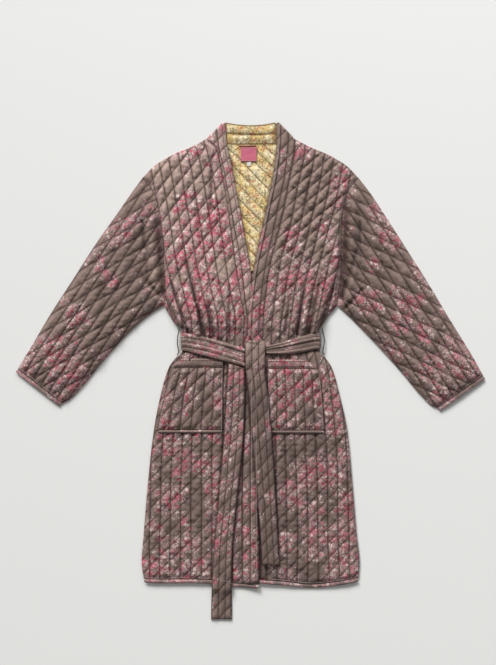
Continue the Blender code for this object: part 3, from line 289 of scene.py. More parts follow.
def flower_print(name, ground, shade_colour, amount=0.0, hot_share=1.0):
    """Taupe cotton with drifts of tiny pink, red and white flowers and grey leaves."""
    spray_spacing = 0.058
    cloth = Finish(name, 0.86, 0.05)
    threads = cloth.measure("cloth")
    wander = cloth.noise(threads, 230.0, 2.0)
    place = cloth.node("ShaderNodeVectorMath", {"operation": "MULTIPLY_ADD"},
                       {0: cloth.other(wander, "Color"), 1: (0.0036, 0.0036, 0.0), 2: threads})
    share = cloth.mark("flowers")
    lines = cloth.measure("quilt")
    fibres = cloth.noise(threads, 900.0, 3.0)
    tone = cloth.noise(threads, 26.0, 2.0)
    colour = cloth.blend(fibres, toned(ground, 0.8), toned(ground, 1.22))
    colour = cloth.blend(tone * 0.4, colour, toned(ground, 0.78))
    # The cloth is made lighter or darker by the lightness the mesh holds: lighter on the chest, darker on
    # the skirt.
    fading = cloth.mark("fading")
    lightened = cloth.blend(fading, (0.8, 0.8, 0.8), (1.6, 1.56, 1.54))
    colour = cloth.blend(1.0, colour, lightened, "MULTIPLY")

    def sprays(at):
        """How deep in a spray of flowers a place lies, and the spray's own random numbers."""
        spray = cloth.node("ShaderNodeTexVoronoi", {"voronoi_dimensions": "2D", "feature": "F1"},
                           {"Vector": at, "Scale": 1.0 / spray_spacing, "Randomness": 1.0})
        chance = cloth.parts(cloth.other(spray, "Color"))
        ragged = (cloth.noise(at, 60.0, 2.0) - 0.5) * 1.1
        wide = (cloth.noise(at, 9.0, 1.0) - 0.5) * 0.9 + share + amount
        return 0.66 + 0.45 * (chance[0] - 0.5) + wide + ragged - spray * 1.45, chance

    depth, _ = sprays(place)
    wash = cloth.between(depth, -0.1, 0.65) * 0.3
    colour = cloth.blend(wash, colour, (0.38, 0.19, 0.19))

    speckle = cloth.between(cloth.noise(threads, 360.0, 1.0), 0.4, 0.62)
    speckle = cloth.blend(speckle, (0.1, 0.062, 0.055), (0.62, 0.46, 0.45))
    colour = cloth.blend(cloth.between(depth, -0.1, 0.3) * 0.42, colour, speckle)

    leaf, centre, chance = cloth.motifs(place, 0.0058, 2.0, 0.0031, 0.6)
    depth, _ = sprays(centre)
    leaf_colour = cloth.blend(chance[1], (0.095, 0.07, 0.06), (0.33, 0.28, 0.26))
    colour = cloth.blend(leaf * cloth.between(depth, -0.16, -0.06) * 0.7, colour, leaf_colour)

    for spacing, radius, shades in (
            (0.0036, 0.0016, ((0.0, (0.5, 0.27, 0.28)), (0.26, (0.8, 0.66, 0.62)),
                              (0.48, (0.3, 0.06, 0.095)), (0.64, (0.085, 0.06, 0.045)))),
            (0.0058, 0.0024, ((0.0, (0.56, 0.3, 0.32)), (0.28, (0.8, 0.66, 0.62)),
                              (0.52, (0.36, 0.055, 0.1)), (0.7, (0.16, 0.105, 0.085))))):
        bit, centre, chance = cloth.motifs(place, spacing, 3.0, radius, 0.45)
        depth, _ = sprays(centre)
        bit_colour = cloth.one_of(shades, chance[1])
        there = cloth.between(depth + (chance[2] - 0.5) * 0.5, 0.0, 0.1)
        colour = cloth.blend(bit * there * (0.55 + 0.4 * chance[0]), colour, bit_colour)

    flower, centre, chance = cloth.motifs(place, 0.0102, 5.0, 0.0044, 0.3)
    depth, spray_chance = sprays(centre)
    warm = cloth.between(depth + (chance[0] - 0.5) * 0.5, 0.56, 0.68)
    warm = warm * cloth.between(spray_chance[1], 0.3, 0.36) * hot_share
    soft = cloth.one_of(((0.0, (0.54, 0.29, 0.31)), (0.34, (0.76, 0.6, 0.57)), (0.6, (0.42, 0.09, 0.14)),
                         (0.84, (0.4, 0.26, 0.25))), chance[1])
    hot = cloth.blend(chance[2], (0.44, 0.036, 0.088), (0.27, 0.013, 0.042))
    petals = cloth.blend(warm, soft, hot)
    middle = cloth.length(cloth.apart(place, centre))
    petals = cloth.blend(cloth.between(middle, 0.0012, 0.006) * 0.32, petals, (0.72, 0.46, 0.5))
    eye = 1.0 - cloth.between(middle, 0.0006, 0.0013)
    petals = cloth.blend(eye * 0.8, petals, (0.3, 0.12, 0.1))
    there = cloth.between(depth + (chance[2] - 0.5) * 0.35, 0.12, 0.2)
    colour = cloth.blend(flower * there * (0.62 + 0.33 * chance[0]), colour, petals)

    ragged = cloth.noise(place, 260.0, 2.0)
    rose, centre, chance = cloth.motifs(place, 0.027, 5.0, 0.0098, 0.24)
    depth, _ = sprays(centre)
    rose = rose * cloth.between(ragged, 0.36, 0.5)
    rose = rose * cloth.between(depth + (chance[2] - 0.5) * 0.6, 0.24, 0.34) * hot_share
    deep = cloth.blend(chance[0], (0.26, 0.015, 0.044), (0.47, 0.058, 0.115))
    rose_colour = cloth.blend(cloth.between(ragged, 0.54, 0.7), deep, (0.6, 0.27, 0.31))
    colour = cloth.blend(rose * 0.8, colour, rose_colour)
    # Lifted a little more where the mesh's lightness is highest, on the right of the chest.
    lifted = cloth.blend(cloth.between(fading, 0.45, 1.0), (1.0, 1.0, 1.0), (1.32, 1.35, 1.35))
    colour = cloth.blend(1.0, colour, lifted, "MULTIPLY")
    return stitched(cloth, colour, lines, threads, shade_colour)


def smooth(value):
    """0 below 0, 1 above 1, with soft ends."""
    value = np.clip(value, 0.0, 1.0)
    return value * value * (3.0 - 2.0 * value)


def curve(places, values, at):
    """A smooth curve through the values, which never overshoots between them."""
    order = np.argsort(places)
    x = np.asarray(places, float)[order]
    y = np.asarray(values, float)[order]
    at = np.clip(np.asarray(at, float), x[0], x[-1])
    rates = np.diff(y) / np.diff(x)
    turning = rates[:-1] * rates[1:] <= 0.0
    total = np.where(turning, 1.0, rates[:-1] + rates[1:])
    mean = np.where(turning, 0.0, 2.0 * rates[:-1] * rates[1:] / total)
    slopes = np.concatenate([rates[:1], mean, rates[-1:]])
    k = np.clip(np.searchsorted(x, at) - 1, 0, len(x) - 2)
    span = x[k + 1] - x[k]
    t = (at - x[k]) / span
    rise = 3.0 * t ** 2 - 2.0 * t ** 3
    bend = slopes[k] * span * (t - 2.0 * t ** 2 + t ** 3) + slopes[k + 1] * span * (t ** 3 - t ** 2)
    return y[k] + (y[k + 1] - y[k]) * rise + bend


def run_of(x, y):
    """A run of points, from what goes across and what goes up."""
    return np.stack([x, y], 1)


def walked_along(points):
    """How far each point of a run is from its first, along the run."""
    return np.concatenate([[0.0], np.cumsum(np.linalg.norm(np.diff(points, axis=0), axis=1))])


def curved(points, count):
    """A smooth run of points through a few given ones."""
    places, t = np.linspace(0.0, 1.0, len(points)), np.linspace(0.0, 1.0, count)
    return np.stack([curve(places, points[:, k], t) for k in (0, 1)], 1)


def evenly(points, count, cornered=False):
    """Points at even steps along a run. Few points are joined smoothly, unless it has corners."""
    points = np.asarray(points, float)
    few = len(points) < 60 and not cornered
    run = curved(points, 600) if few else points
    walked = walked_along(run)
    at = np.linspace(0.0, walked[-1], count)
    return np.stack([np.interp(at, walked, run[:, k]) for k in (0, 1)], 1)


def strip(near_edge, far_edge, columns):
    """A grid between two edges, and each column's share of the way across."""
    u = np.linspace(0.0, 1.0, columns)[None, :, None]
    grid = near_edge[:, None] * (1.0 - u) + far_edge[:, None] * u
    return grid[..., 0], grid[..., 1], u[..., 0]


def side_gap(x, near_edge, far_edge):
    """How far each point of a strip is from its nearer side."""
    return np.minimum(np.abs(x - near_edge[:, None, 0]), np.abs(x - far_edge[:, None, 0]))


def four_sided(low, high, near, far):
    """Fills four edges with a grid, and gives each point's distance to the nearest edge."""
    u = np.linspace(0.0, 1.0, len(low))[None, :, None]
    v = np.linspace(0.0, 1.0, len(near))[:, None, None]
    across = (1.0 - u) * near[:, None] + u * far[:, None]
    along = (1.0 - v) * low[None] + v * high[None]
    corners = ((1.0 - u) * (1.0 - v) * low[0] + u * (1.0 - v) * low[-1]
               + (1.0 - u) * v * high[0] + u * v * high[-1])
    grid = across + along - corners
    sides = (near[:, None], far[:, None], low[None], high[None])
    gap = np.min([np.linalg.norm(grid - side, axis=2) for side in sides], axis=0)
    return grid[..., 0], grid[..., 1], gap


def tree_of(piece):
    mesh = piece.data
    return BVHTree.FromPolygons([vertex.co for vertex in mesh.vertices],
                                [tuple(face.vertices) for face in mesh.polygons])


def under_height(node, x, y):
    """The height of a solid's underside at each place."""
    tree = tree_of(nodes[node])
    z = np.full(x.shape, np.nan)
    up = Vector((0.0, 0.0, 1.0))
    for k in np.ndindex(x.shape):
        hit = tree.ray_cast(Vector((x[k], y[k], -0.1)), up)[0]
        if hit is not None:
            z[k] = hit.z
    while np.isnan(z).any():
        around = np.pad(z, 1, constant_values=np.nan)
        near = np.stack([around[:-2, 1:-1], around[2:, 1:-1], around[1:-1, :-2], around[1:-1, 2:]])
        known = ~np.isnan(near)
        total = np.where(known, near, 0.0).sum(0)
        count = known.sum(0)
        z = np.where(np.isnan(z) & (count > 0), total / np.maximum(count, 1), z)
    return z


def soften(z, times):
    """Evens out heights with those beside them."""
    for _ in range(times):
        around = np.pad(z, 1, mode="edge")
        z = (z * 2.0 + around[:-2, 1:-1] + around[2:, 1:-1]
             + around[1:-1, :-2] + around[1:-1, 2:]) / 6.0
    return z


def resting(node, x, y, times=10):
    """The height of a solid's underside at each place, and the same evened out from above."""
    low = under_height(node, x, y)
    return low, np.maximum(low, soften(low, times))


def ripple(x, y, size, seed):
    """Gentle unevenness between about -1 and 1."""
    random = np.random.default_rng(seed)
    total = np.zeros_like(x)
    for _ in range(6):
        turn, start = random.uniform(0.0, 2.0 * pi), random.uniform(0.0, 2.0 * pi)
        scale = size * random.uniform(0.6, 1.5)
        total += np.sin((x * np.cos(turn) + y * np.sin(turn)) * 2.0 * pi / scale + start)
    return total / 3.0


def folds_over(x, y, folds):
    """Soft ridges, or troughs where the height is below 0, each from one point to another."""
    ridge = np.zeros_like(x)
    trough = np.zeros_like(x)
    for x1, y1, x2, y2, half_width, height in folds:
        run_x, run_y = x2 - x1, y2 - y1
        t = ((x - x1) * run_x + (y - y1) * run_y) / (run_x ** 2 + run_y ** 2)
        near_t = np.clip(t, 0.0, 1.0)
        off = np.hypot(x - x1 - run_x * near_t, y - y1 - run_y * near_t)
        lift = height * smooth(1.15 - np.maximum(t, 0.0)) * smooth(1.0 - off / half_width)
        ridge = np.maximum(ridge, lift)
        trough = np.minimum(trough, lift)
    return ridge + trough


def pillows(a, b, seed, cross=1.0):
    """Padding between the stitch lines: 0 on a line, about 1 between lines."""
    round_a = np.abs(np.sin(pi * a))
    round_b = 1.0 - cross * (1.0 - np.abs(np.sin(pi * b)))
    cell = np.sin(np.floor(a) * 12.9898 + np.floor(b) * 78.233 + seed) * 43758.5453
    return (round_a * round_b) ** 0.6 * (0.74 + 0.52 * (cell - np.floor(cell)))


# where the print is thick with flowers, and where it is bare: x, y, how wide, how much more
flower_drifts = (
    (-0.12, 0.345, 0.06, 0.55), (-0.12, 0.24, 0.065, 0.6), (-0.09, 0.13, 0.055, 0.6),
    (-0.08, 0.49, 0.04, 0.2), (-0.135, 0.43, 0.045, -0.55), (-0.045, 0.4, 0.025, -0.3),
    (0.13, 0.4, 0.07, -0.55), (0.11, 0.32, 0.06, -0.2), (0.205, 0.39, 0.03, 0.6), (0.11, 0.19, 0.06, 0.3),
    (-0.1, -0.2, 0.07, 0.25), (-0.19, -0.25, 0.06, -0.15), (-0.16, -0.4, 0.06, 0.25),
    (-0.05, -0.38, 0.05, 0.1), (0.16, -0.22, 0.07, 0.3), (0.1, -0.38, 0.06, -0.1), (0.2, -0.4, 0.05, 0.3),
    (-0.12, -0.06, 0.05, -0.1), (-0.17, 0.376, 0.012, 0.45), (-0.125, 0.358, 0.012, 0.45),
    (-0.1, 0.346, 0.012, 0.45), (-0.157, 0.24, 0.012, 0.45), (-0.13, 0.256, 0.012, 0.45),
    (-0.095, 0.146, 0.014, 0.45), (-0.068, 0.123, 0.012, 0.4), (-0.139, 0.162, 0.012, 0.4),
    (-0.036, 0.174, 0.012, 0.4), (-0.162, 0.208, 0.014, -0.6), (-0.06, 0.232, 0.016, -0.7),
    (-0.13, 0.49, 0.03, 0.5), (-0.3, 0.25, 0.07, -0.48), (-0.36, 0.12, 0.07, -0.34),
    (-0.45, 0.06, 0.06, -0.2), (-0.284, 0.307, 0.017, 1.1), (-0.339, 0.224, 0.02, 1.2),
    (-0.312, 0.2, 0.012, 0.9), (-0.399, 0.132, 0.015, 0.95), (-0.316, 0.1, 0.015, 1.0),
    (-0.438, 0.054, 0.022, 0.9), (-0.385, 0.062, 0.018, 0.9), (-0.415, -0.022, 0.026, 0.9),
    (-0.502, 0.024, 0.018, 0.9), (-0.238, 0.185, 0.014, 1.0), (-0.27, 0.35, 0.012, 0.6),
    (0.187, 0.377, 0.016, 0.9), (0.206, 0.438, 0.016, 0.8), (0.167, 0.33, 0.016, 0.9),
    (0.106, 0.316, 0.014, 0.9), (0.19, 0.285, 0.014, 0.8), (0.137, 0.216, 0.022, 0.45),
    (0.168, 0.178, 0.022, 0.45), (0.12, 0.49, 0.02, 0.5), (0.29, 0.26, 0.07, -0.5),
    (0.39, 0.1, 0.08, -0.08), (0.282, 0.369, 0.016, 1.0), (0.321, 0.3, 0.02, 1.1),
    (0.279, 0.238, 0.014, 1.0), (0.374, 0.231, 0.018, 1.0), (0.268, 0.155, 0.018, 1.0),
    (0.36, 0.146, 0.018, 0.9), (0.328, 0.1, 0.018, 0.9), (0.436, 0.139, 0.022, 0.7),
    (0.397, 0.077, 0.018, 0.8), (0.459, 0.047, 0.02, 0.8), (0.489, 0.017, 0.018, 0.8),
    (0.436, -0.061, 0.02, 0.9), (0.397, 0.001, 0.014, 0.6), (-0.178, -0.182, 0.016, 0.5),
    (-0.15, -0.2, 0.016, 0.5), (-0.126, -0.212, 0.014, 0.4), (-0.176, -0.29, 0.02, 0.5),
    (-0.196, -0.398, 0.016, 0.5), (-0.172, -0.407, 0.016, 0.4), (-0.121, -0.304, 0.026, -0.45),
    (0.139, -0.228, 0.018, 0.5), (0.185, -0.25, 0.018, 0.5), (0.212, -0.347, 0.02, 0.5),
    (0.116, -0.274, 0.016, 0.4), (0.238, -0.458, 0.022, 0.5), (0.081, -0.193, 0.03, -0.6),
    (0.13, -0.41, 0.03, -0.45), (0.08, -0.06, 0.024, 0.45), (0.15, -0.055, 0.022, 0.4),
    (0.066, 0.004, 0.02, 0.4), (0.185, -0.044, 0.016, 0.4), (0.175, -0.105, 0.022, 0.3),
    (0.11, -0.07, 0.04, 0.3),
)


def painted_shade_share(x, y, runs):
    """How much shade is painted on the cloth along crease lines and beside laid-on edges, from 0 to 1."""
    share = np.zeros_like(x)
    for run, half_width, depth, fade in runs:
        run = np.asarray(run, float)
        for first, last in zip(run[:-1], run[1:]):
            step = last - first
            t = np.clip(((x - first[0]) * step[0] + (y - first[1]) * step[1]) / (step @ step), 0.0, 1.0)
            off = np.hypot(x - first[0] - step[0] * t, y - first[1] - step[1] * t)
            share = np.maximum(share, depth * (1.0 - fade * t) * smooth(1.0 - off / half_width))
    return share


def troughs(folds):
    """The troughs among the folds, as runs of painted shade."""
    return [(((x1, y1), (x2, y2)), 0.8 * wide, min(1.0, -height / 0.008), 0.35)
            for x1, y1, x2, y2, wide, height in folds if height < 0.0]


def lightness_over_body(x, y):
    """How much lighter the cloth is made: most on the right of the chest, a little on the right sleeve,
    least on the skirt.
    """
    side_seam, waist, hip, armhole = 0.25, 0.06, -0.02, -0.23
    body = smooth((side_seam - np.abs(x)) / 0.05)
    chest = smooth((y - waist) / 0.2) * body
    skirt = smooth((hip - y) / 0.05) * body
    lightened = 0.34 + np.where(x < 0.0, 0.92, 0.26) * chest + 0.1 * smooth((armhole - x) / 0.04)
    return lightened - np.where(x < 0.0, 0.14, 0.28) * skirt


def put_mesh(name, points, faces, cloth, quilt, look, dark=()):
    """Makes a shown piece of cloth, with the cloth's own measure and its stitch lines on it."""
    points = np.asarray(points)
    mesh = bpy.data.meshes.new(name)
    mesh.from_pydata(points.tolist(), [], faces)
    corner = np.empty(len(mesh.loops), np.int32)
    mesh.loops.foreach_get("vertex_index", corner)
    for layer, values in (("cloth", cloth), ("quilt", quilt)):
        spread = np.asarray(values, np.float32)[corner].ravel()
        mesh.uv_layers.new(name=layer).data.foreach_set("uv", spread)
    x, y = points[:, 0], points[:, 1]
    share = np.zeros(len(points))
    for drift_x, drift_y, wide, more in flower_drifts:
        share += more * np.exp(-((x - drift_x) ** 2 + (y - drift_y) ** 2) / (2.0 * wide ** 2))
    # Marks held at each point: the print's flower share, how much lighter the cloth is made, and how much
    # shade is painted along crease lines and edges.
    marks = {"flowers": share, "fading": lightness_over_body(x, y), "creases": painted_shade_share(x, y, dark)}
    for layer, values in marks.items():
        mesh.attributes.new(layer, "FLOAT", "POINT").data.foreach_set("value", values.astype(np.float32))
    mesh.materials.append(look)
    mesh.shade_smooth()
    piece = bpy.data.objects.new(name, mesh)
    bpy.context.scene.collection.objects.link(piece)
    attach(piece, "root")
    return piece


def shell(name, x, y, low, top, cloth, quilt, look, dark=()):
    """A closed thin piece of cloth between two heights on one grid."""
    rows, columns = x.shape
    k = np.arange(rows * columns).reshape(rows, columns)
    upper = np.stack([k[:-1, :-1], k[:-1, 1:], k[1:, 1:], k[1:, :-1]], -1).reshape(-1, 4)
    lower = upper[:, ::-1] + rows * columns
    ring = np.concatenate([k[0, :-1], k[:-1, -1], k[-1, :0:-1], k[:0:-1, 0]])
    after = np.roll(ring, -1)
    wall = np.stack([ring, ring + rows * columns, after + rows * columns, after], -1)
    points = np.concatenate([np.stack([x, y, z], -1).reshape(-1, 3) for z in (top, low)])
    faces = np.concatenate([upper, lower, wall])
    across, along = (x[0, -1] - x[0, 0], y[0, -1] - y[0, 0]), (x[-1, 0] - x[0, 0], y[-1, 0] - y[0, 0])
    clockwise = across[0] * along[1] - across[1] * along[0] < 0.0
    if clockwise:
        faces = faces[:, ::-1]
    both = [np.concatenate([np.stack(pair, -1).reshape(-1, 2)] * 2) for pair in (cloth, quilt)]
    return put_mesh(name, points, faces.tolist(), both[0], both[1], look, dark)


pitch = 0.0238
diagonal_step = pitch * 2.0 ** 0.5
seam_gap = 0.0003
side_heights = (-0.492, -0.44, -0.371, -0.261, -0.137, -0.054, 0.006, 0.03, 0.0435, 0.0935, 0.106,
                0.126, 0.15, 0.19, 0.24, 0.285, 0.34, 0.376, 0.412, 0.442)
side_places = {
    "right": (-0.2425, -0.25, -0.245, -0.236, -0.222, -0.206, -0.188, -0.171, -0.1565, -0.1565, -0.171,
              -0.185, -0.197, -0.1955, -0.1985, -0.2, -0.206, -0.212, -0.225, -0.2485),
    "left": (0.2465, 0.25, 0.243, 0.234, 0.222, 0.204, 0.187, 0.171, 0.158, 0.158, 0.166,
             0.178, 0.198, 0.2035, 0.208, 0.208, 0.21, 0.214, 0.224, 0.2485),
}
band_top = 0.5695
band_heights = (-0.492, -0.25, -0.05, 0.006, 0.03, 0.062, 0.086, 0.117, 0.174, 0.24, 0.318, 0.383,
                0.44, 0.48, 0.51, 0.5335, 0.548, band_top)
seam_places = {
    "right": (-0.0184, -0.0184, -0.0184, -0.0182, -0.018, -0.017, -0.0155, -0.014, -0.023, -0.0335, -0.044,
              -0.0535, -0.063, -0.0705, -0.078, -0.099, -0.0855, -0.064),
    "left": (0.037, 0.035, 0.032, 0.03, 0.029, 0.028, 0.0285, 0.03, 0.035, 0.045, 0.064,
             0.079, 0.09, 0.0975, 0.102, 0.099, 0.087, 0.0655),
}
hem_places = {
    "right": ((-0.243, -0.224, -0.15, -0.087, -0.04, 0.02),
              (-0.478, -0.48, -0.4795, -0.4805, -0.488, -0.4915)),
    "left": ((-0.003, 0.037, 0.075, 0.138, 0.215, 0.248),
             (-0.479, -0.482, -0.4845, -0.491, -0.483, -0.476)),
}
shoulder_line = np.array([(0.099, 0.5335), (0.118, 0.523), (0.14, 0.512), (0.174, 0.498), (0.198, 0.485),
                          (0.22, 0.471), (0.2485, 0.442)])
neck_corner, arm_top, arm_foot = 0.5335, 0.442, 0.15
turn_of = {"right": -1.0, "left": 1.0}
front_length, front_width, front_spacing = 1.015, 0.222, 0.003

# each fold: from x, y to x, y, half width, height (a trough is below 0)
front_folds = {
    "right": (
        (-0.15, 0.09, -0.18, 0.24, 0.016, 0.0095), (-0.12, 0.085, -0.136, 0.27, 0.015, 0.01),
        (-0.098, 0.082, -0.112, 0.22, 0.014, 0.009), (-0.074, 0.08, -0.086, 0.19, 0.012, 0.007),
        (-0.052, 0.078, -0.062, 0.16, 0.011, 0.005), (-0.14, 0.03, -0.17, -0.06, 0.016, 0.004),
        (-0.1, 0.022, -0.112, -0.05, 0.015, 0.003), (-0.188, 0.2, -0.208, 0.4, 0.018, 0.005),
        (-0.141, 0.08, -0.182, 0.205, 0.009, -0.009), (-0.105, 0.078, -0.127, 0.165, 0.01, -0.012),
        (-0.126, 0.16, -0.147, 0.25, 0.01, -0.011), (-0.084, 0.078, -0.098, 0.16, 0.008, -0.007),
        (-0.048, 0.078, -0.05, 0.195, 0.007, -0.007), (-0.163, 0.095, -0.196, 0.18, 0.007, -0.006),
        (-0.091, 0.372, -0.09, 0.49, 0.008, -0.006), (-0.07, 0.39, -0.08, 0.5, 0.014, 0.003),
        (-0.17, 0.23, -0.18, 0.33, 0.01, 0.004), (-0.118, 0.3, -0.128, 0.4, 0.007, -0.0034),
    ),
    "left": (
        (0.148, 0.09, 0.176, 0.24, 0.016, 0.0085), (0.12, 0.088, 0.138, 0.22, 0.014, 0.0068),
        (0.094, 0.084, 0.106, 0.18, 0.013, 0.0046), (0.064, 0.08, 0.072, 0.17, 0.012, 0.0034),
        (0.142, 0.03, 0.172, -0.06, 0.016, 0.004), (0.104, 0.026, 0.112, -0.05, 0.015, 0.0028),
        (0.19, 0.2, 0.208, 0.4, 0.018, 0.0048), (0.134, 0.086, 0.162, 0.22, 0.009, -0.009),
        (0.107, 0.084, 0.124, 0.19, 0.008, -0.008), (0.16, 0.098, 0.192, 0.2, 0.008, -0.007),
        (0.079, 0.082, 0.09, 0.17, 0.007, -0.0055), (0.128, 0.36, 0.135, 0.47, 0.008, -0.003),
    ),
}
belt_ends = {
    "left": (((-0.0112, 0.0004), (-0.004, -0.06), (0.0064, -0.183), (0.019, -0.33), (0.0274, -0.445)),
             ((0.033, 0.0004), (0.0415, -0.06), (0.0518, -0.183), (0.0605, -0.33), (0.0667, -0.446))),
    "right": (((-0.05, 0.016), (-0.055, -0.05), (-0.0615, -0.16), (-0.074, -0.3), (-0.085, -0.427),
               (-0.089, -0.5), (-0.0908, -0.5716)),
              ((-0.0135, 0.005), (-0.012, -0.052), (-0.0165, -0.16), (-0.031, -0.3), (-0.0425, -0.427),
               (-0.043, -0.5), (-0.043, -0.5716))),
}
arm_feet = {"right": ((-0.15, 0.044), (-0.07, 0.0225), (-0.0132, 0.007)),
            "left": ((0.0352, 0.037), (0.075, 0.036), (0.15, 0.047))}
pressed_boxes = {"right": (0.064, 0.2135, -0.143, 0.0285), "left": (0.039, 0.17, -0.144, 0.0265)}
taupe = (0.214, 0.155, 0.135)
# The dark red-brown painted as shade along the print's crease lines, valleys and stitch lines.
painted_shade_colour = (0.026, 0.009, 0.008)
print_look = flower_print("flower_print", taupe, painted_shade_colour)
quiet_look = flower_print("quiet_print", taupe, painted_shade_colour, hot_share=0.75)
front_looks = {"right": print_look, "left": quiet_look}
thinnest_cloth = 0.001


def seam_x(side, height):
    return curve(band_heights, seam_places[side], height)


def side_x(side, height):
    return curve(side_heights, side_places[side], height)


def hem_y(side, x):
    return curve(*hem_places[side], x)


for side in ("right", "left"):
    turn = turn_of[side]
    low_seam = float(hem_y(side, seam_x(side, -0.48)))
    low_side = float(hem_y(side, side_x(side, -0.47)))
    seam_run = np.linspace(low_seam, neck_corner, 700)
    side_run = np.linspace(low_side, arm_top, 700)
    seam_edge = run_of(seam_x(side, seam_run) + turn * seam_gap / 2.0, seam_run)
    side_edge = run_of(side_x(side, side_run), side_run)
    hem_run = np.linspace(seam_edge[0, 0], side_edge[0, 0], 200)
    hem_edge = run_of(hem_run, hem_y(side, hem_run))
    shoulder_edge = shoulder_line * (turn, 1.0)
    rows, columns = int(front_length / front_spacing), int(front_width / front_spacing)
    x, y, gap = four_sided(evenly(hem_edge, columns), evenly(shoulder_edge, columns),
                           evenly(seam_edge, rows), evenly(side_edge, rows))
    column_width = curve((-0.49, -0.25, -0.02, 0.07, 0.16, 0.3, 0.56),
                         (1.0, 0.99, 0.9, 0.82, 0.9, 0.96, 0.98), y)
    waver = ripple(x, y, 0.11, 3)
    a = turn * (x - seam_x(side, y)) / (pitch * column_width) + 0.05 * waver
    b = (y - turn * pitch * a) / diagonal_step
    near, far, foot, head = pressed_boxes[side]
    under_pocket = (y > foot) & (y < head) & (x * turn > near) & (x * turn < far)
    under_belt = (y > 0.0) & (y < 0.094)
    pressed = soften(np.where(under_pocket | under_belt, 1.0, 0.0), 3)
    inside = smooth(gap / 0.012)
    low, base = resting("front_" + side, x, y, 8)
    padded = 0.0036 + 0.0017 * smooth(y / 0.12)
    gathered = smooth((0.29 - y) / 0.1) * smooth((y - 0.05) / 0.02)
    cross = 1.0 - 0.5 * gathered - 0.34 * smooth((0.02 - y) / 0.04)
    padding = pillows(a, b, 1.0, cross) * (padded * (1.0 - pressed) + 0.0007 * pressed)
    crumple = (ripple(x, y, 0.05, 11) * 0.001 + ripple(x, y, 0.016, 12) * 0.0008
               + ripple(x, y, 0.01, 13) * 0.0005)
    lift = folds_over(x, y, front_folds[side]) + crumple * (1.0 - pressed)
    top = base + 0.0014 + (0.0006 + padding + lift) * inside
    top = np.maximum(top, low + thinnest_cloth)
    other_cut = 0.31 if side == "left" else 0.0
    # Painted shade along the fold troughs, beside the belt ends' edges, along the side edge from hip to
    # armhole and under the belt arm's lower edge.
    dark = troughs(front_folds[side]) + [(run, 0.0075, 0.75, 0.0) for run in belt_ends[side]]
    dark += [(side_edge[220:690:20], 0.006, 0.35, 0.0), (arm_feet[side], 0.007, 0.6, 0.0)]
    piece = shell("front_cloth_" + side, x, y, low, top, (x + other_cut, y), (a, b),
                  front_looks[side], dark)
    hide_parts("front_" + side)


# Front bands.
# A straight folded band of the same quilted cloth, sewn to each front from hem to hem
# round the neck, with a stitched line along its free edge.

edge_places = {
    "right": (0.0196, 0.0196, 0.019, 0.015, 0.0053, 0.0053, 0.0135, 0.013, 0.007, -0.001, -0.014,
              -0.0265, -0.037, -0.045, -0.052, -0.055, -0.0565, -0.059),
    "left": (-0.002, -0.004, -0.004, -0.002, 0.0059, 0.0059, -0.007, -0.006, -0.001, 0.0085, 0.025,
             0.038, 0.05, 0.056, 0.059, 0.0603, 0.0603, 0.0605),
}
band_lines = {"right": (0.0, 0.007, 0.02, 0.06), "left": (0.0, 0.0085, 0.026, 0.06)}
# Where the right band's free edge lies over the left band, which gets a painted shadow beside it.
overlap_edge = ((0.0215, -0.5), (0.0215, -0.05))


def edge_x(side, height):
    return curve(band_heights, edge_places[side], height)


for side in ("right", "left"):
    turn = turn_of[side]
    foot = max(float(hem_y(side, line(side, -0.48))) for line in (seam_x, edge_x)) + seam_gap
    heights = np.linspace(foot, band_top, 420)
    edge = run_of(edge_x(side, heights), heights)
    seam = run_of(seam_x(side, heights) - turn * seam_gap / 2.0, heights)
    x, y, _ = strip(edge, seam, 22)
    from_edge = np.abs(x - edge[:, None, 0])
    gap = np.minimum(side_gap(x, edge, seam), np.minimum(y - foot, band_top - y))
    a = np.interp(from_edge, band_lines[side], (0.0, 1.0, 2.0, 3.0)) + 0.03 * ripple(x, y, 0.16, 21)
    b = (y - x) / diagonal_step
    low, base = resting("band_" + side, x, y)
    inside = smooth(gap / 0.006)
    rolled = 0.0016 + 0.0016 * smooth(-y / 0.05)
    roll_middle = 0.0045
    padding = (pillows(a, b, 2.0) * 0.0026
               + rolled * np.exp(-(((from_edge - roll_middle) / roll_middle) ** 2)))
    top = base + 0.0013 + (0.0007 + padding + 0.0004 * ripple(x, y, 0.04, 22)) * inside
    # Painted shade beside the belt ends' edges and along the band's free edge and seam; on the left band,
    # a painted shadow beside the right band's free edge.
    dark = [(run, 0.0075, 0.75, 0.0) for run in belt_ends["right"] + belt_ends["left"]]
    dark += [(edge[::20], 0.003, 0.5, 0.0), (seam[::20], 0.004, 0.5, 0.0)]
    if side == "left":
        dark += [(overlap_edge, 0.0046, 0.85, 0.0)]
    piece = shell("band_cloth_" + side, x, y, low, top, (x + 0.7 + 0.13 * turn, y), (a, b),
                  print_look, dark)
    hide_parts("band_" + side)


# Sleeves.
# Each is one quilted piece folded along the outer edge of the arm and sewn along the
# underarm, set into the armhole and laid flat with its two layers together.

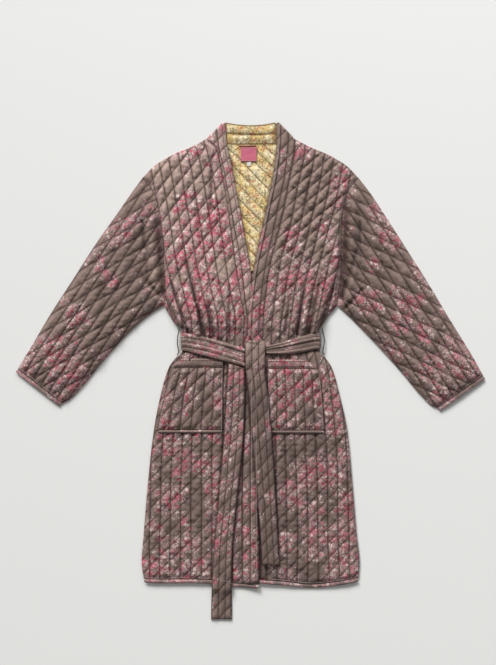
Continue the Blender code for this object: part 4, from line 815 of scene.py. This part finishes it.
arm_edges = {
    "right": (((-0.2485, 0.442), (-0.27, 0.413), (-0.306, 0.361), (-0.356, 0.29), (-0.408, 0.209),
               (-0.458, 0.132), (-0.508, 0.048), (-0.535, 0.004)),
              ((-0.197, 0.15), (-0.236, 0.125), (-0.282, 0.084), (-0.32, 0.043), (-0.356, 0.0),
               (-0.389, -0.04), (-0.418, -0.068), (-0.4325, -0.0755))),
    "left": (((0.2485, 0.442), (0.275, 0.408), (0.312, 0.352), (0.36, 0.277), (0.408, 0.201),
              (0.457, 0.119), (0.508, 0.036), (0.535, -0.012)),
             ((0.198, 0.15), (0.229, 0.122), (0.279, 0.071), (0.318, 0.029), (0.354, -0.012),
              (0.387, -0.052), (0.417, -0.081), (0.43, -0.086))),
}
sleeve_lines = {"right": (57.0, 30.0), "left": (122.5, 155.0)}
slanted_pitch = 0.027
sleeve_folds = {
    "right": (
        (-0.232, 0.395, -0.222, 0.19, 0.02, 0.0082), (-0.28, 0.33, -0.29, 0.15, 0.022, 0.0064),
        (-0.35, 0.23, -0.352, 0.06, 0.02, 0.0054), (-0.42, 0.14, -0.4, 0.0, 0.02, 0.0044),
        (-0.48, 0.05, -0.445, -0.03, 0.018, 0.0032), (-0.21, 0.172, -0.262, 0.232, 0.009, -0.0044),
        (-0.248, 0.34, -0.236, 0.21, 0.009, -0.005), (-0.3, 0.22, -0.33, 0.15, 0.012, 0.0036),
    ),
    "left": (
        (0.234, 0.395, 0.23, 0.19, 0.02, 0.008), (0.284, 0.32, 0.286, 0.14, 0.022, 0.005),
        (0.352, 0.22, 0.34, 0.06, 0.02, 0.0042), (0.43, 0.11, 0.404, -0.02, 0.02, 0.0034),
        (0.212, 0.165, 0.244, 0.28, 0.009, -0.0054), (0.22, 0.145, 0.27, 0.2, 0.008, -0.0046),
        (0.252, 0.34, 0.252, 0.25, 0.007, -0.0036),
    ),
}
# Runs of painted shade on each sleeve beside the armhole seam.
arm_shades = {"right": ((-0.202, 0.185), (-0.208, 0.26), (-0.214, 0.345)),
              "left": ((0.208, 0.175), (0.216, 0.26), (0.219, 0.39))}
sleeve_wall = 0.0022
sleeve_padding = {"right": 0.004, "left": 0.005}
sleeve_height, sleeve_slot, sleeve_skin = 0.005, 0.0006, 0.0008
fold_round = 0.0045


def there_and_back(upper, lower):
    """Rings round a tube: each row of the upper layer, and then the lower one's row backwards."""
    return np.concatenate([np.stack(upper, -1), np.stack(lower, -1)[:, ::-1]], 1)


for side in ("right", "left"):
    turn = turn_of[side]
    outer, under = (np.array(points) for points in arm_edges[side])
    outer[0, 0] += turn * seam_gap
    under[0, 0] += turn * seam_gap
    heights = np.linspace(arm_top, arm_foot, 300)
    armhole = run_of(side_x(side, heights) + turn * seam_gap, heights)
    armhole[0], armhole[-1] = outer[0], under[0]
    cuff_line = np.linspace(outer[-1], under[-1], 200)
    rows, columns = 165, 84
    x, y, gap = four_sided(evenly(armhole, columns), evenly(cuff_line, columns),
                           evenly(outer, rows), evenly(under, rows))
    spots = np.stack([x, y], -1)
    long_gap = np.minimum(*(np.linalg.norm(spots - spots[:, k:k + 1], axis=2) for k in (0, columns - 1)))
    waver = ripple(x, y, 0.12, 31)
    middle_x, middle_y = turn * 0.37, 0.18
    a, b = ((-(x - middle_x) * np.sin(angle) + (y - middle_y) * np.cos(angle)) / step + 0.05 * waver
            for angle, step in zip(np.array(sleeve_lines[side]) * pi / 180.0, (pitch, slanted_pitch)))
    inside = smooth(gap / 0.012)
    rounded = np.sqrt(1.0 - (1.0 - np.clip(long_gap / fold_round, 0.0, 1.0)) ** 2)
    middle_z = sleeve_height * 0.45
    lift = folds_over(x, y, sleeve_folds[side]) + ripple(x, y, 0.05, 32) * 0.0005
    lift = lift + ripple(x, y, 0.016, 33) * 0.0005 + ripple(x, y, 0.01, 34) * 0.0003
    lift = lift + 0.006 * smooth(gap / 0.042)
    top = middle_z + (sleeve_height - sleeve_skin - middle_z) * rounded
    top = top + (sleeve_skin + pillows(a, b, 3.0) * sleeve_padding[side] + lift) * inside
    top = np.maximum(top, middle_z + 0.0018 * rounded)
    low = middle_z * (1.0 - rounded)
    centre_x = (x[:, :1] + x[:, -1:]) / 2.0
    centre_y = (y[:, :1] + y[:, -1:]) / 2.0
    half = np.hypot(x[:, :1] - x[:, -1:], y[:, :1] - y[:, -1:]) / 2.0
    shrink = 1.0 - fold_round / half
    inner_x = centre_x + (x - centre_x) * shrink
    inner_y = centre_y + (y - centre_y) * shrink
    slot = np.full_like(x, sleeve_wall)
    inside_rows = (list(range(0, rows - 1, 6)) + [rows - 1])[::-1]
    hollow = there_and_back((inner_x, inner_y, slot + sleeve_slot), (inner_x, inner_y, slot))
    ring_points = [*there_and_back((x, y, top), (x, y, low)), *hollow[inside_rows]]
    ring_cloth = there_and_back((x, y), (x + 0.41, y))
    ring_cloth = [*ring_cloth, *ring_cloth[inside_rows]]
    ring_quilt = [*there_and_back((a, b), (a, b)), *np.full((len(inside_rows), 2 * columns, 2), 0.5)]
    count = 2 * columns
    k = np.arange(len(ring_points) * count).reshape(len(ring_points), count)
    after_ring, after_point = np.roll(k, -1, 0), np.roll(k, -1, 1)
    faces = np.stack([k, after_point, np.roll(after_ring, -1, 1), after_ring], -1).reshape(-1, 4)
    if turn < 0.0:
        faces = faces[:, ::-1]
    cloth = np.concatenate(ring_cloth) + (1.3 * turn, 0.4)
    # Painted shade along the fold troughs and beside the armhole seam.
    dark = troughs(sleeve_folds[side]) + [(arm_shades[side], 0.018, 0.95, 0.2)]
    piece = put_mesh("sleeve_cloth_" + side, np.concatenate(ring_points), faces.tolist(), cloth,
                     np.concatenate(ring_quilt), quiet_look, dark)
    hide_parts("sleeve_" + side)


# Pockets.
# Two quilted patches with a folded top, sewn on along their sides and piped at the foot.

pocket_fold, piping_width, pocket_channels = 0.023, 0.007, 6.0
pocket_near = {"right": ((-0.0625, 0.0285), (-0.064, -0.143)),
               "left": ((0.039, 0.0265), (0.039, -0.1425))}
pocket_far = {
    "right": ((-0.173, 0.0285), (-0.193, -0.04), (-0.208, -0.105), (-0.2135, -0.137)),
    "left": ((0.1277, 0.0265), (0.16, -0.0035), (0.1665, -0.08), (0.17, -0.144)),
}
for side in ("right", "left"):
    turn = turn_of[side]
    near, far = np.array(pocket_near[side]), np.array(pocket_far[side])
    top_y = near[0, 1] - pocket_fold
    foot_y = min(near[-1, 1], far[-1, 1]) + piping_width
    heights = np.linspace(foot_y, top_y, 56)
    near_edge, far_edge = (run_of(np.interp(heights, run[::-1, 1], run[::-1, 0]), heights)
                           for run in (near, far))
    x, y, u = strip(near_edge, far_edge, 52)
    gap = np.minimum(side_gap(x, near_edge, far_edge), np.minimum(y - foot_y, top_y - y))
    a = pocket_channels * u + 0.04 * ripple(x, y, 0.1, 41) * np.minimum(gap / 0.02, 1.0)
    b = (y - x) / diagonal_step + 0.04 * ripple(x, y, 0.1, 42)
    low, base = resting("pocket_" + side, x, y)
    padding = pillows(a, b, 4.0) * 0.004 + 0.0006 * ripple(x, y, 0.03, 43)
    top = base + 0.0008 + (0.0012 + padding) * smooth(gap / 0.01)
    cloth = (x + 0.53 * turn, y + 0.9)
    piece = shell("pocket_cloth_" + side, x, y, low, top, cloth, (a, b), print_look)
    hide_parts("pocket_" + side)


# Belt arms and knot.
# The belt is a padded strip of the same cotton. Its two arms come round the waist with
# long soft folds, pass through a plain wrapped knot, and are held by it alone.

def soft_copy(node, name, levels, look, relief, lines, shift):
    """A rounded finer copy of a solid. Its upper side is raised by relief(x, y)."""
    bm = bmesh.new()
    bm.from_mesh(nodes[node].data)
    bmesh.ops.remove_doubles(bm, verts=bm.verts[:], dist=0.00005)
    bmesh.ops.join_triangles(bm, faces=bm.faces[:], angle_face_threshold=0.9, angle_shape_threshold=1.2)
    mesh = bpy.data.meshes.new(name)
    bm.to_mesh(mesh)
    bm.free()
    rough = bpy.data.objects.new(name, mesh)
    bpy.context.scene.collection.objects.link(rough)
    rough.modifiers.new("rounding", "SUBSURF").levels = levels
    fine = bpy.data.meshes.new_from_object(rough.evaluated_get(bpy.context.evaluated_depsgraph_get()))
    bpy.data.objects.remove(rough)
    points, facing = (np.empty(len(fine.vertices) * 3) for _ in range(2))
    fine.vertices.foreach_get("co", points)
    fine.vertices.foreach_get("normal", facing)
    points, facing = points.reshape(-1, 3), facing.reshape(-1, 3)
    x, y = points[:, 0].copy(), points[:, 1].copy()
    points[:, 2] += relief(x, y) * smooth(facing[:, 2] * 2.0)
    faces = [tuple(face.vertices) for face in fine.polygons]
    piece = put_mesh(name, points, faces, np.stack([x + shift[0], y + shift[1]], -1),
                     np.stack(lines(x, y), -1), look)
    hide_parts(node)
    return piece


def no_lines(x, y):
    return np.full_like(x, 0.5), np.full_like(x, 0.5)


belt_look = flower_print("belt_print", taupe, painted_shade_colour, -0.25, 0.7)
arm_runs = {
    "right": ((-0.15, -0.125, -0.07, -0.0132), (0.045, 0.0385, 0.0235, 0.008),
              (0.088, 0.083, 0.069, 0.052)),
    "left": ((0.0352, 0.075, 0.115, 0.15), (0.038, 0.037, 0.04, 0.048), (0.056, 0.0665, 0.079, 0.088)),
}
arm_folds = 4.0


def arm_lines(x, y):
    places, low_y, high_y = arm_runs["right" if x[0] < 0.0 else "left"]
    across = (y - curve(places, low_y, x)) / (curve(places, high_y, x) - curve(places, low_y, x))
    drawn = across + 0.1 * np.sin(across * pi) * ripple(x, np.zeros_like(y), 0.16, 71)
    return drawn * arm_folds + 0.1 * ripple(x, y * 0.2, 0.07, 74), np.full_like(x, 0.5)


def arm_relief(x, y):
    a, _ = arm_lines(x, y)
    deep = 0.55 + 0.45 * np.sin(np.floor(a) * 2.4 + 1.0 + x * 18.0)
    return 0.0032 * deep * np.abs(np.sin(pi * a)) + 0.0007 * ripple(x, y, 0.035, 72)


for side, arm_area in (("right", 0.0075), ("left", 0.0053)):
    piece = soft_copy("belt_" + side, "belt_cloth_" + side, 2, belt_look,
                      arm_relief, arm_lines, (2.1, 0.3))

knot_middle, knot_half = 0.0108, 0.023


def knot_lines(x, y):
    across = x - knot_middle + knot_half
    return across / knot_half * 1.5, (y + 0.0036 - across * 1.1) / diagonal_step


def knot_relief(x, y):
    a, b = knot_lines(x, y)
    sloped = -0.0008 * smooth((0.016 - y) / 0.018)
    folds = ((-0.011, 0.063, 0.034, 0.056, 0.005, -0.0016), (-0.006, 0.05, -0.002, 0.01, 0.006, 0.0012))
    return 0.0016 * pillows(a, b, 8.0) + sloped + folds_over(x, y, folds)


# The knot's print is a third lighter than the belt's: a painted highlight on its rounded top, which faces
# the light.
knot_look = flower_print("knot_print_painted_highlight", toned(taupe, 1.32), painted_shade_colour, -0.26, 0.4)
piece = soft_copy("belt_knot", "knot_cloth", 2, knot_look, knot_relief, knot_lines, (2.4, 0.3))


# Pocket tops.
# The top of each pocket is folded over to the outside and stitched down once.

def gentle(x, y):
    return 0.0004 * ripple(x, y, 0.02, 81)


def top_lines(x, y):
    middle = np.where(x < 0.0, 0.017, 0.015)
    return (y - middle) / (pocket_fold / 2.0) + 0.5, np.full_like(x, 0.5)


for side in ("right", "left"):
    piece = soft_copy("pocket_top_" + side, "pocket_top_cloth_" + side, 2, print_look,
                      gentle, top_lines, (0.53 * turn_of[side], 0.9))


# Bindings.
# Narrow strips of a paler cut of the print, folded over the hem, the cuffs and the foot of
# each pocket and stitched down.

binding_look = flower_print("binding_print", (0.215, 0.155, 0.14), painted_shade_colour, 0.12, 0.3)
piping_look = flower_print("piping_print", taupe, painted_shade_colour, -0.35, 0.3)
for node, length, width, beneath in (
        ("cuff_right", 0.25, 0.01, ["sleeve_cloth_right"]),
        ("cuff_left", 0.25, 0.01, ["sleeve_cloth_left"]),
        ("hem_right", 0.258, 0.012, ["hem_back_cloth"]), ("hem_left", 0.248, 0.012, ["hem_back_cloth"]),
        ("hem_back", 0.49, 0.01, []), ("pocket_piping_right", 0.15, 0.01, ["front_cloth_right"]),
        ("pocket_piping_left", 0.131, 0.01, ["front_cloth_left"])):
    look = piping_look if "piping" in node else binding_look
    piece = soft_copy(node, node + "_cloth", 1, look, gentle, no_lines, (3.1, 0.3))


# Belt ends.
# The belt's two free ends hang from the knot, quilted in lozenges like the body.

end_ground = toned(taupe, 1.02)
end_looks = {"right": flower_print("right_end_print", end_ground, painted_shade_colour, -0.05, 0.8),
             "left": flower_print("left_end_print", end_ground, painted_shade_colour, -0.42, 0.7)}
for side, length, end_area, beneath in (("right", 0.6, 0.026, "front_cloth_right"),
                                        ("left", 0.46, 0.019, "band_cloth_left")):
    near, far = (np.array(points) for points in belt_ends[side])
    near_edge, far_edge = curved(near, 190), curved(far, 190)
    x, y, u = strip(near_edge, far_edge, 22)
    width = np.linalg.norm(far_edge - near_edge, axis=1)[:, None]
    across = u * width
    run = walked_along(near_edge)[:, None]
    gap = np.minimum(np.minimum(across, width - across), np.minimum(run + 0.004, run[-1] - run))
    a = np.interp(u, (0.0, 0.34, 0.68, 1.0), (0.0, 1.0, 2.0, 3.0)) + 0.04 * ripple(x, y, 0.12, 52)
    b = (-run - across * 1.1) / diagonal_step
    low, base = resting("belt_end_" + side, x, y)
    padding = pillows(a, b, 5.0) * 0.0024 + 0.0005 * ripple(x, y, 0.05, 51)
    near_knot = 0.004 * smooth((y + 0.13) / 0.11) - 0.0022 * smooth((y + 0.022) / 0.022)
    top = base + 0.0022 + (0.0008 + padding + near_knot) * smooth(gap / 0.005)
    # Painted shade along both edges of each belt end.
    dark = [(near_edge[::10], 0.003, 0.6, 0.0), (far_edge[::10], 0.004, 0.8, 0.0)]
    piece = shell("belt_end_cloth_" + side, x, y, low, top, (x + 1.9, y + 0.37), (a, b),
                  end_looks[side], dark)
    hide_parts("belt_end_" + side)


# Lining.
# The back's inside is a yellow cotton print, quilted through with it, and shows between
# the bands below the neck.

def lining_print(name, light=1.0):
    """Cream and yellow cotton with small red, green and brown sprigs."""
    cloth = Finish(name, 0.84, 0.1)
    place = cloth.measure("cloth")
    lines = cloth.measure("quilt")
    fibres = cloth.noise(place, 700.0, 2.0)
    patches = cloth.between(cloth.noise(place, 30.0, 2.0), 0.4, 0.62)
    cream, yellow, straw = (toned(colour, light) for colour in (
        (0.92, 0.8, 0.5), (0.86, 0.64, 0.27), (0.66, 0.5, 0.26)))
    colour = cloth.blend(patches, cream, yellow)
    colour = cloth.blend(fibres * 0.3, colour, straw)
    for spacing, radius, petals, depth, first, second in (
            (0.0042, 0.0016, 2.0, 0.5, (0.22, 0.2, 0.07), (0.44, 0.33, 0.15)),
            (0.006, 0.0023, 2.0, 0.45, (0.16, 0.14, 0.06), (0.34, 0.3, 0.24)),
            (0.0076, 0.0027, 5.0, 0.3, (0.42, 0.09, 0.05), (0.24, 0.13, 0.08)),
            (0.012, 0.0046, 5.0, 0.32, (0.5, 0.12, 0.08), (0.94, 0.84, 0.6)),
            (0.018, 0.0074, 4.0, 0.4, (0.34, 0.1, 0.05), (0.22, 0.19, 0.08))):
        mask, centre, chance = cloth.motifs(place, spacing, petals, radius, depth)
        shade = cloth.blend(cloth.between(chance[1], 0.45, 0.5), first, second)
        mask = mask * cloth.between(cloth.noise(place, 420.0, 1.0), 0.36, 0.5)
        colour = cloth.blend(mask * cloth.between(chance[0], 0.3, 0.36) * 0.9, colour, shade)
    # The lining's painted shade is a dark olive brown.
    return stitched(cloth, colour, lines, place, (0.12, 0.065, 0.02))


lining_look = lining_print("lining_print", 1.04)
tucked, lining_top = np.array((0.006, 0.0)), 0.5192
label_middle = np.array((-0.004, 0.496))
heights = np.linspace(0.228, lining_top, 110)
left_edge = run_of(edge_x("right", heights), heights) - tucked
right_edge = run_of(edge_x("left", heights), heights) + tucked
x, y, _ = strip(left_edge, right_edge, 48)
a = np.full_like(x, 0.5)
b = (y + x) / diagonal_step * 1.1 + 0.06 * ripple(x, y, 0.1, 62)
low = under_height("lining_back", x, y)
gap = side_gap(x, left_edge, right_edge)
under_label = smooth((0.025 - np.abs(x - label_middle[0])) / 0.004) * smooth((y - 0.464) / 0.006)
padding = (0.0026 * pillows(a, b, 6.0) * (0.55 + 0.45 * np.abs(np.sin(pi * x / pitch)))
           * (1.0 - under_label))
top = low + 0.001 + (0.0002 + padding) * smooth(gap / 0.008)
# Painted shade beside the bands' edges, which lie over the lining, and along its top edge under the collar
# seam.
dark = [(left_edge[::8] + tucked, 0.008, 0.7, 0.0), (right_edge[::8] - tucked, 0.008, 0.6, 0.0),
        (((-0.08, lining_top), (0.08, lining_top)), 0.005, 0.8, 0.0)]
piece = shell("lining_cloth", x, y, low, top, (x, y), (a, b), lining_look, dark)
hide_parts("lining_back")


# Collar stand.
# The back neck stand is sewn along the neck, with one stitched channel, and its lined
# inner face is up. It ends under the front bands.

columns, rows = 120, 30
collar_corner, collar_foot = 0.056, 0.5198
places = np.linspace(-0.0987, 0.0987, columns)
past_corner = np.maximum(0.0, np.abs(places) - collar_corner) / 0.043
high_y = 0.5638 + 0.0065 * np.minimum(1.0, np.abs(places) / collar_corner) ** 2 - 0.037 * past_corner
v = np.linspace(0.0, 1.0, rows)[:, None]
x = np.repeat(places[None], rows, 0)
y = collar_foot + (high_y[None] - collar_foot) * v
a = v * 2.0 + 0.03 * ripple(x, y, 0.06, 91)
b = np.full_like(x, 0.5)
shown = smooth((0.06 - np.abs(x)) / 0.01)
low = np.zeros_like(x)
folds = folds_over(x, y, ((-0.03, 0.522, -0.02, 0.545, 0.004, -0.001),
                          (0.032, 0.56, 0.022, 0.535, 0.004, -0.001)))
padding = 0.0032 * np.abs(np.sin(pi * v)) ** 0.7 * np.abs(np.sin(pi * a)) ** 0.6
top = np.maximum(0.0014 + (0.0006 + padding + folds) * shown, thinnest_cloth)
# Painted shade along the top edge, along the seam at its foot, and beside its ends where the bands lie
# over them.
dark = [(run_of(x[-1], y[-1])[::4], 0.0042, 1.0, 0.0),
        (run_of(x[0], y[0])[::4], 0.003, 0.7, 0.0)]
dark += [(((place, 0.52), (place, 0.565)), 0.008, 0.7, 0.0) for place in (-0.057, 0.059)]
collar_look = lining_print("collar_print", 0.82)
piece = shell("collar_cloth", x, y, low, top, (x + 0.5, y), (a, b), collar_look, dark)
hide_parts("collar")


# Back.
# One quilted panel from hem to neck. It lies face down, so its stitch lines show from
# beneath, with the belt passing under it at the waist.

back_length, back_width, back_spacing = 0.92, 0.5, 0.0055
heights = np.linspace(-0.4755, arm_top, 700)
right_side, left_side = (run_of(side_x(side, heights), heights) for side in ("right", "left"))
neck = np.array([(-0.099, 0.5195), (0.099, 0.5195)])
shoulders = np.concatenate([shoulder_line[::-1] * (-1.0, 1.0), neck, shoulder_line])
rows, columns = int(back_length / back_spacing), int(back_width / back_spacing)
hem_line = np.linspace(right_side[0], left_side[0], 100)
x, y, gap = four_sided(evenly(hem_line, columns), evenly(shoulders, columns, cornered=True),
                       evenly(right_side, rows), evenly(left_side, rows))
a, b = x / pitch + 0.5, (y - x) / diagonal_step
low = under_height("back", x, y)
top = low + 0.0016 + 0.0006 * smooth(gap / 0.01)
low = low + 0.0008 * (1.0 - pillows(a, b, 7.0)) * smooth(gap / 0.02)
piece = shell("back_cloth", x, y, low, top, (x + 4.1, y), (a, b), print_look)
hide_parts("back")


# Belt behind the back.
# The same padded strip as the belt's arms, lying flat under the waist from one side seam
# to the other, with two stitch lines along it.

belt_reach, belt_foot, belt_width = 0.1497, 0.0465, 0.044
x, y = np.meshgrid(np.linspace(-belt_reach, belt_reach, 90), np.linspace(belt_foot, 0.0905, 20))
gap = np.minimum(0.022 - np.abs(y - 0.0685), belt_reach - np.abs(x))
a, b = (y - belt_foot) / belt_width * 3.0, (x - y) / diagonal_step
low = 0.0006 * (1.0 - pillows(a, b, 9.0)) * smooth(gap / 0.006)
top = np.full_like(x, 0.002)
piece = shell("belt_back_cloth", x, y, low, top, (x + 4.1, y + 0.7), (a, b), belt_look)
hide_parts("belt_back")


# Neck label, size tab and hanging loop.
# A blank woven label with a folded loop over its top edge, and a blank tab below, all
# stitched to the lining.

def woven(name, colour, dark):
    """Plain thread or ribbon, with fine ribs across it."""
    rib_turns, rib_depth = 6000.0, 0.0001
    cloth = Finish(name, 0.6, 0.2)
    place = cloth.measure("cloth")
    fibres = cloth.noise(place, 500.0, 2.0)
    _, y, _ = cloth.parts(place)
    ribs = y.sum_of("SINE", y * rib_turns)
    cloth.join(cloth.blend(fibres * 0.5, colour, dark), cloth.shader.inputs["Base Color"])
    bump = cloth.node("ShaderNodeBump", {},
                      {"Height": ribs + fibres, "Strength": 0.5, "Distance": rib_depth})
    cloth.join(bump, cloth.shader.inputs["Normal"])
    return cloth.made


for node, half_x, half_y, centre, colour, dark, slot in (
        ("label", 0.0185, 0.016, label_middle, (0.64, 0.17, 0.25), (0.5, 0.09, 0.15), "label"),
        ("size_tab", 0.0045, 0.00475, (-0.0035, 0.4741), (0.82, 0.8, 0.76), (0.6, 0.55, 0.5), "tab")):
    x, y = np.meshgrid(centre[0] + np.linspace(-half_x, half_x, 30),
                       centre[1] + np.linspace(-half_y, half_y, 26))
    edge = np.minimum(half_x - np.abs(x - centre[0]), half_y - np.abs(y - centre[1]))
    low = under_height(node, x, y)
    top = (low + 0.0006 + 0.0003 * smooth(edge / 0.0012)
           - 0.0003 * np.exp(-(((edge - 0.002) / 0.0005) ** 2)))
    top = top + 0.0002 * ripple(x, y, 0.02, 95)
    look = woven(node + "_weave", colour, dark)
    piece = shell(node + "_cloth", x, y, low, top, (x, y), no_lines(x, y), look)
    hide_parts(node)

loop_look = woven("loop_weave", (0.26, 0.045, 0.045), (0.07, 0.015, 0.012))
piece = soft_copy("hang_loop", "hang_loop_cloth", 2, loop_look,
                  lambda x, y: 0.0002 * ripple(x, y, 0.006, 96), no_lines, (0.0, 0.0))


# Belt loops.
# A twisted cord of dark thread at each side seam holds the belt.

cord_look = woven("cord_twist", (0.022, 0.015, 0.013), (0.01, 0.007, 0.006))
for side in ("right", "left"):
    soft_copy("belt_loop_" + side, "belt_loop_cord_" + side, 1, cord_look,
              lambda x, y: np.zeros_like(x), no_lines, (0.0, 0.0))


# Topstitching.
# Rows of single stitches in matching thread along the armholes, the bands' free edges, the
# pockets' sides, the hems, the cuffs and round the label.

armhole_heights = np.linspace(0.165, 0.432, 60)
band_run = np.linspace(-0.47, 0.56, 220)
stitch_runs = []
for side in ("right", "left"):
    turn = turn_of[side]
    stitch_runs += [run_of(side_x(side, armhole_heights) - turn * off, armhole_heights)
                    for off in (0.0035, 0.0095)]
    stitch_runs += [run_of(edge_x(side, band_run) + turn * 0.0062, band_run)]
    hem_run = np.linspace(seam_x(side, -0.47) + turn * 0.004, side_x(side, -0.47) - turn * 0.006, 50)
    stitch_runs += [run_of(hem_run, hem_y(side, hem_run) + 0.003)]
    stitch_runs += [np.array(pocket_near[side]) + (turn * 0.0022, 0.0),
                    np.array(pocket_far[side]) - (turn * 0.0026, 0.0)]
    outer, under = (np.array(points[-1]) for points in arm_edges[side])
    up_arm = np.array((-turn * 0.62, 0.79)) * 0.003
    stitch_runs += [np.stack([outer * near + under * far + up_arm
                              for near, far in ((0.97, 0.03), (0.03, 0.97))])]
corners = np.array([(-1.0, -1.0), (1.0, -1.0), (1.0, 1.0), (-1.0, 1.0), (-1.0, -1.0)]) * (0.0171, 0.0146)
stitch_runs += [corners[k:k + 2] + label_middle for k in range(4)]

stitch_length, stitch_step, thread_width = 0.0028, 0.0038, 0.00055
upper = [tree_of(piece) for piece in bpy.context.scene.objects if "cloth" in piece.name]


def top_height(x, y):
    hits = [tree.ray_cast(Vector((x, y, 0.1)), Vector((0.0, 0.0, -1.0)))[0] for tree in upper]
    return max((hit.z for hit in hits if hit is not None), default=0.0)


points, faces = [], []
for run in stitch_runs:
    walked = walked_along(run)
    starts = np.arange(0.001, walked[-1] - stitch_length, stitch_step)
    for start in starts:
        ends = [[np.interp(start + off, walked, run[:, k]) for k in (0, 1)]
                for off in (0.0, stitch_length)]
        ends = [np.array((*end, top_height(*end))) for end in ends]
        along = (ends[1] - ends[0]) / np.linalg.norm(ends[1] - ends[0])
        across = np.cross(along, (0.0, 0.0, 1.0))
        rise = np.cross(across, along)
        first = len(points)
        for share, swell, lift in ((0.0, 0.45, -0.0001), (0.25, 1.0, 0.0002),
                                   (0.75, 1.0, 0.0002), (1.0, 0.45, -0.0001)):
            centre = ends[0] * (1.0 - share) + ends[1] * share + rise * lift
            for side_way, up_way in ((1.0, 0.0), (0.0, 1.0), (-1.0, 0.0), (0.0, -1.0)):
                points.append(centre + (across * side_way + rise * up_way) * thread_width * swell)
        for ring in range(3):
            for k in range(4):
                here, after = first + ring * 4 + k, first + ring * 4 + (k + 1) % 4
                faces.append((here, here + 4, after + 4, after))
        faces.append(tuple(first + k for k in range(4)))
        faces.append(tuple(first + 12 + k for k in (3, 2, 1, 0)))
stitch_look = woven("topstitch_thread", (0.54, 0.42, 0.39), (0.26, 0.18, 0.16))
points = np.array(points)
put_mesh("topstitching", points, faces, points[:, :2], points[:, :2], stitch_look)
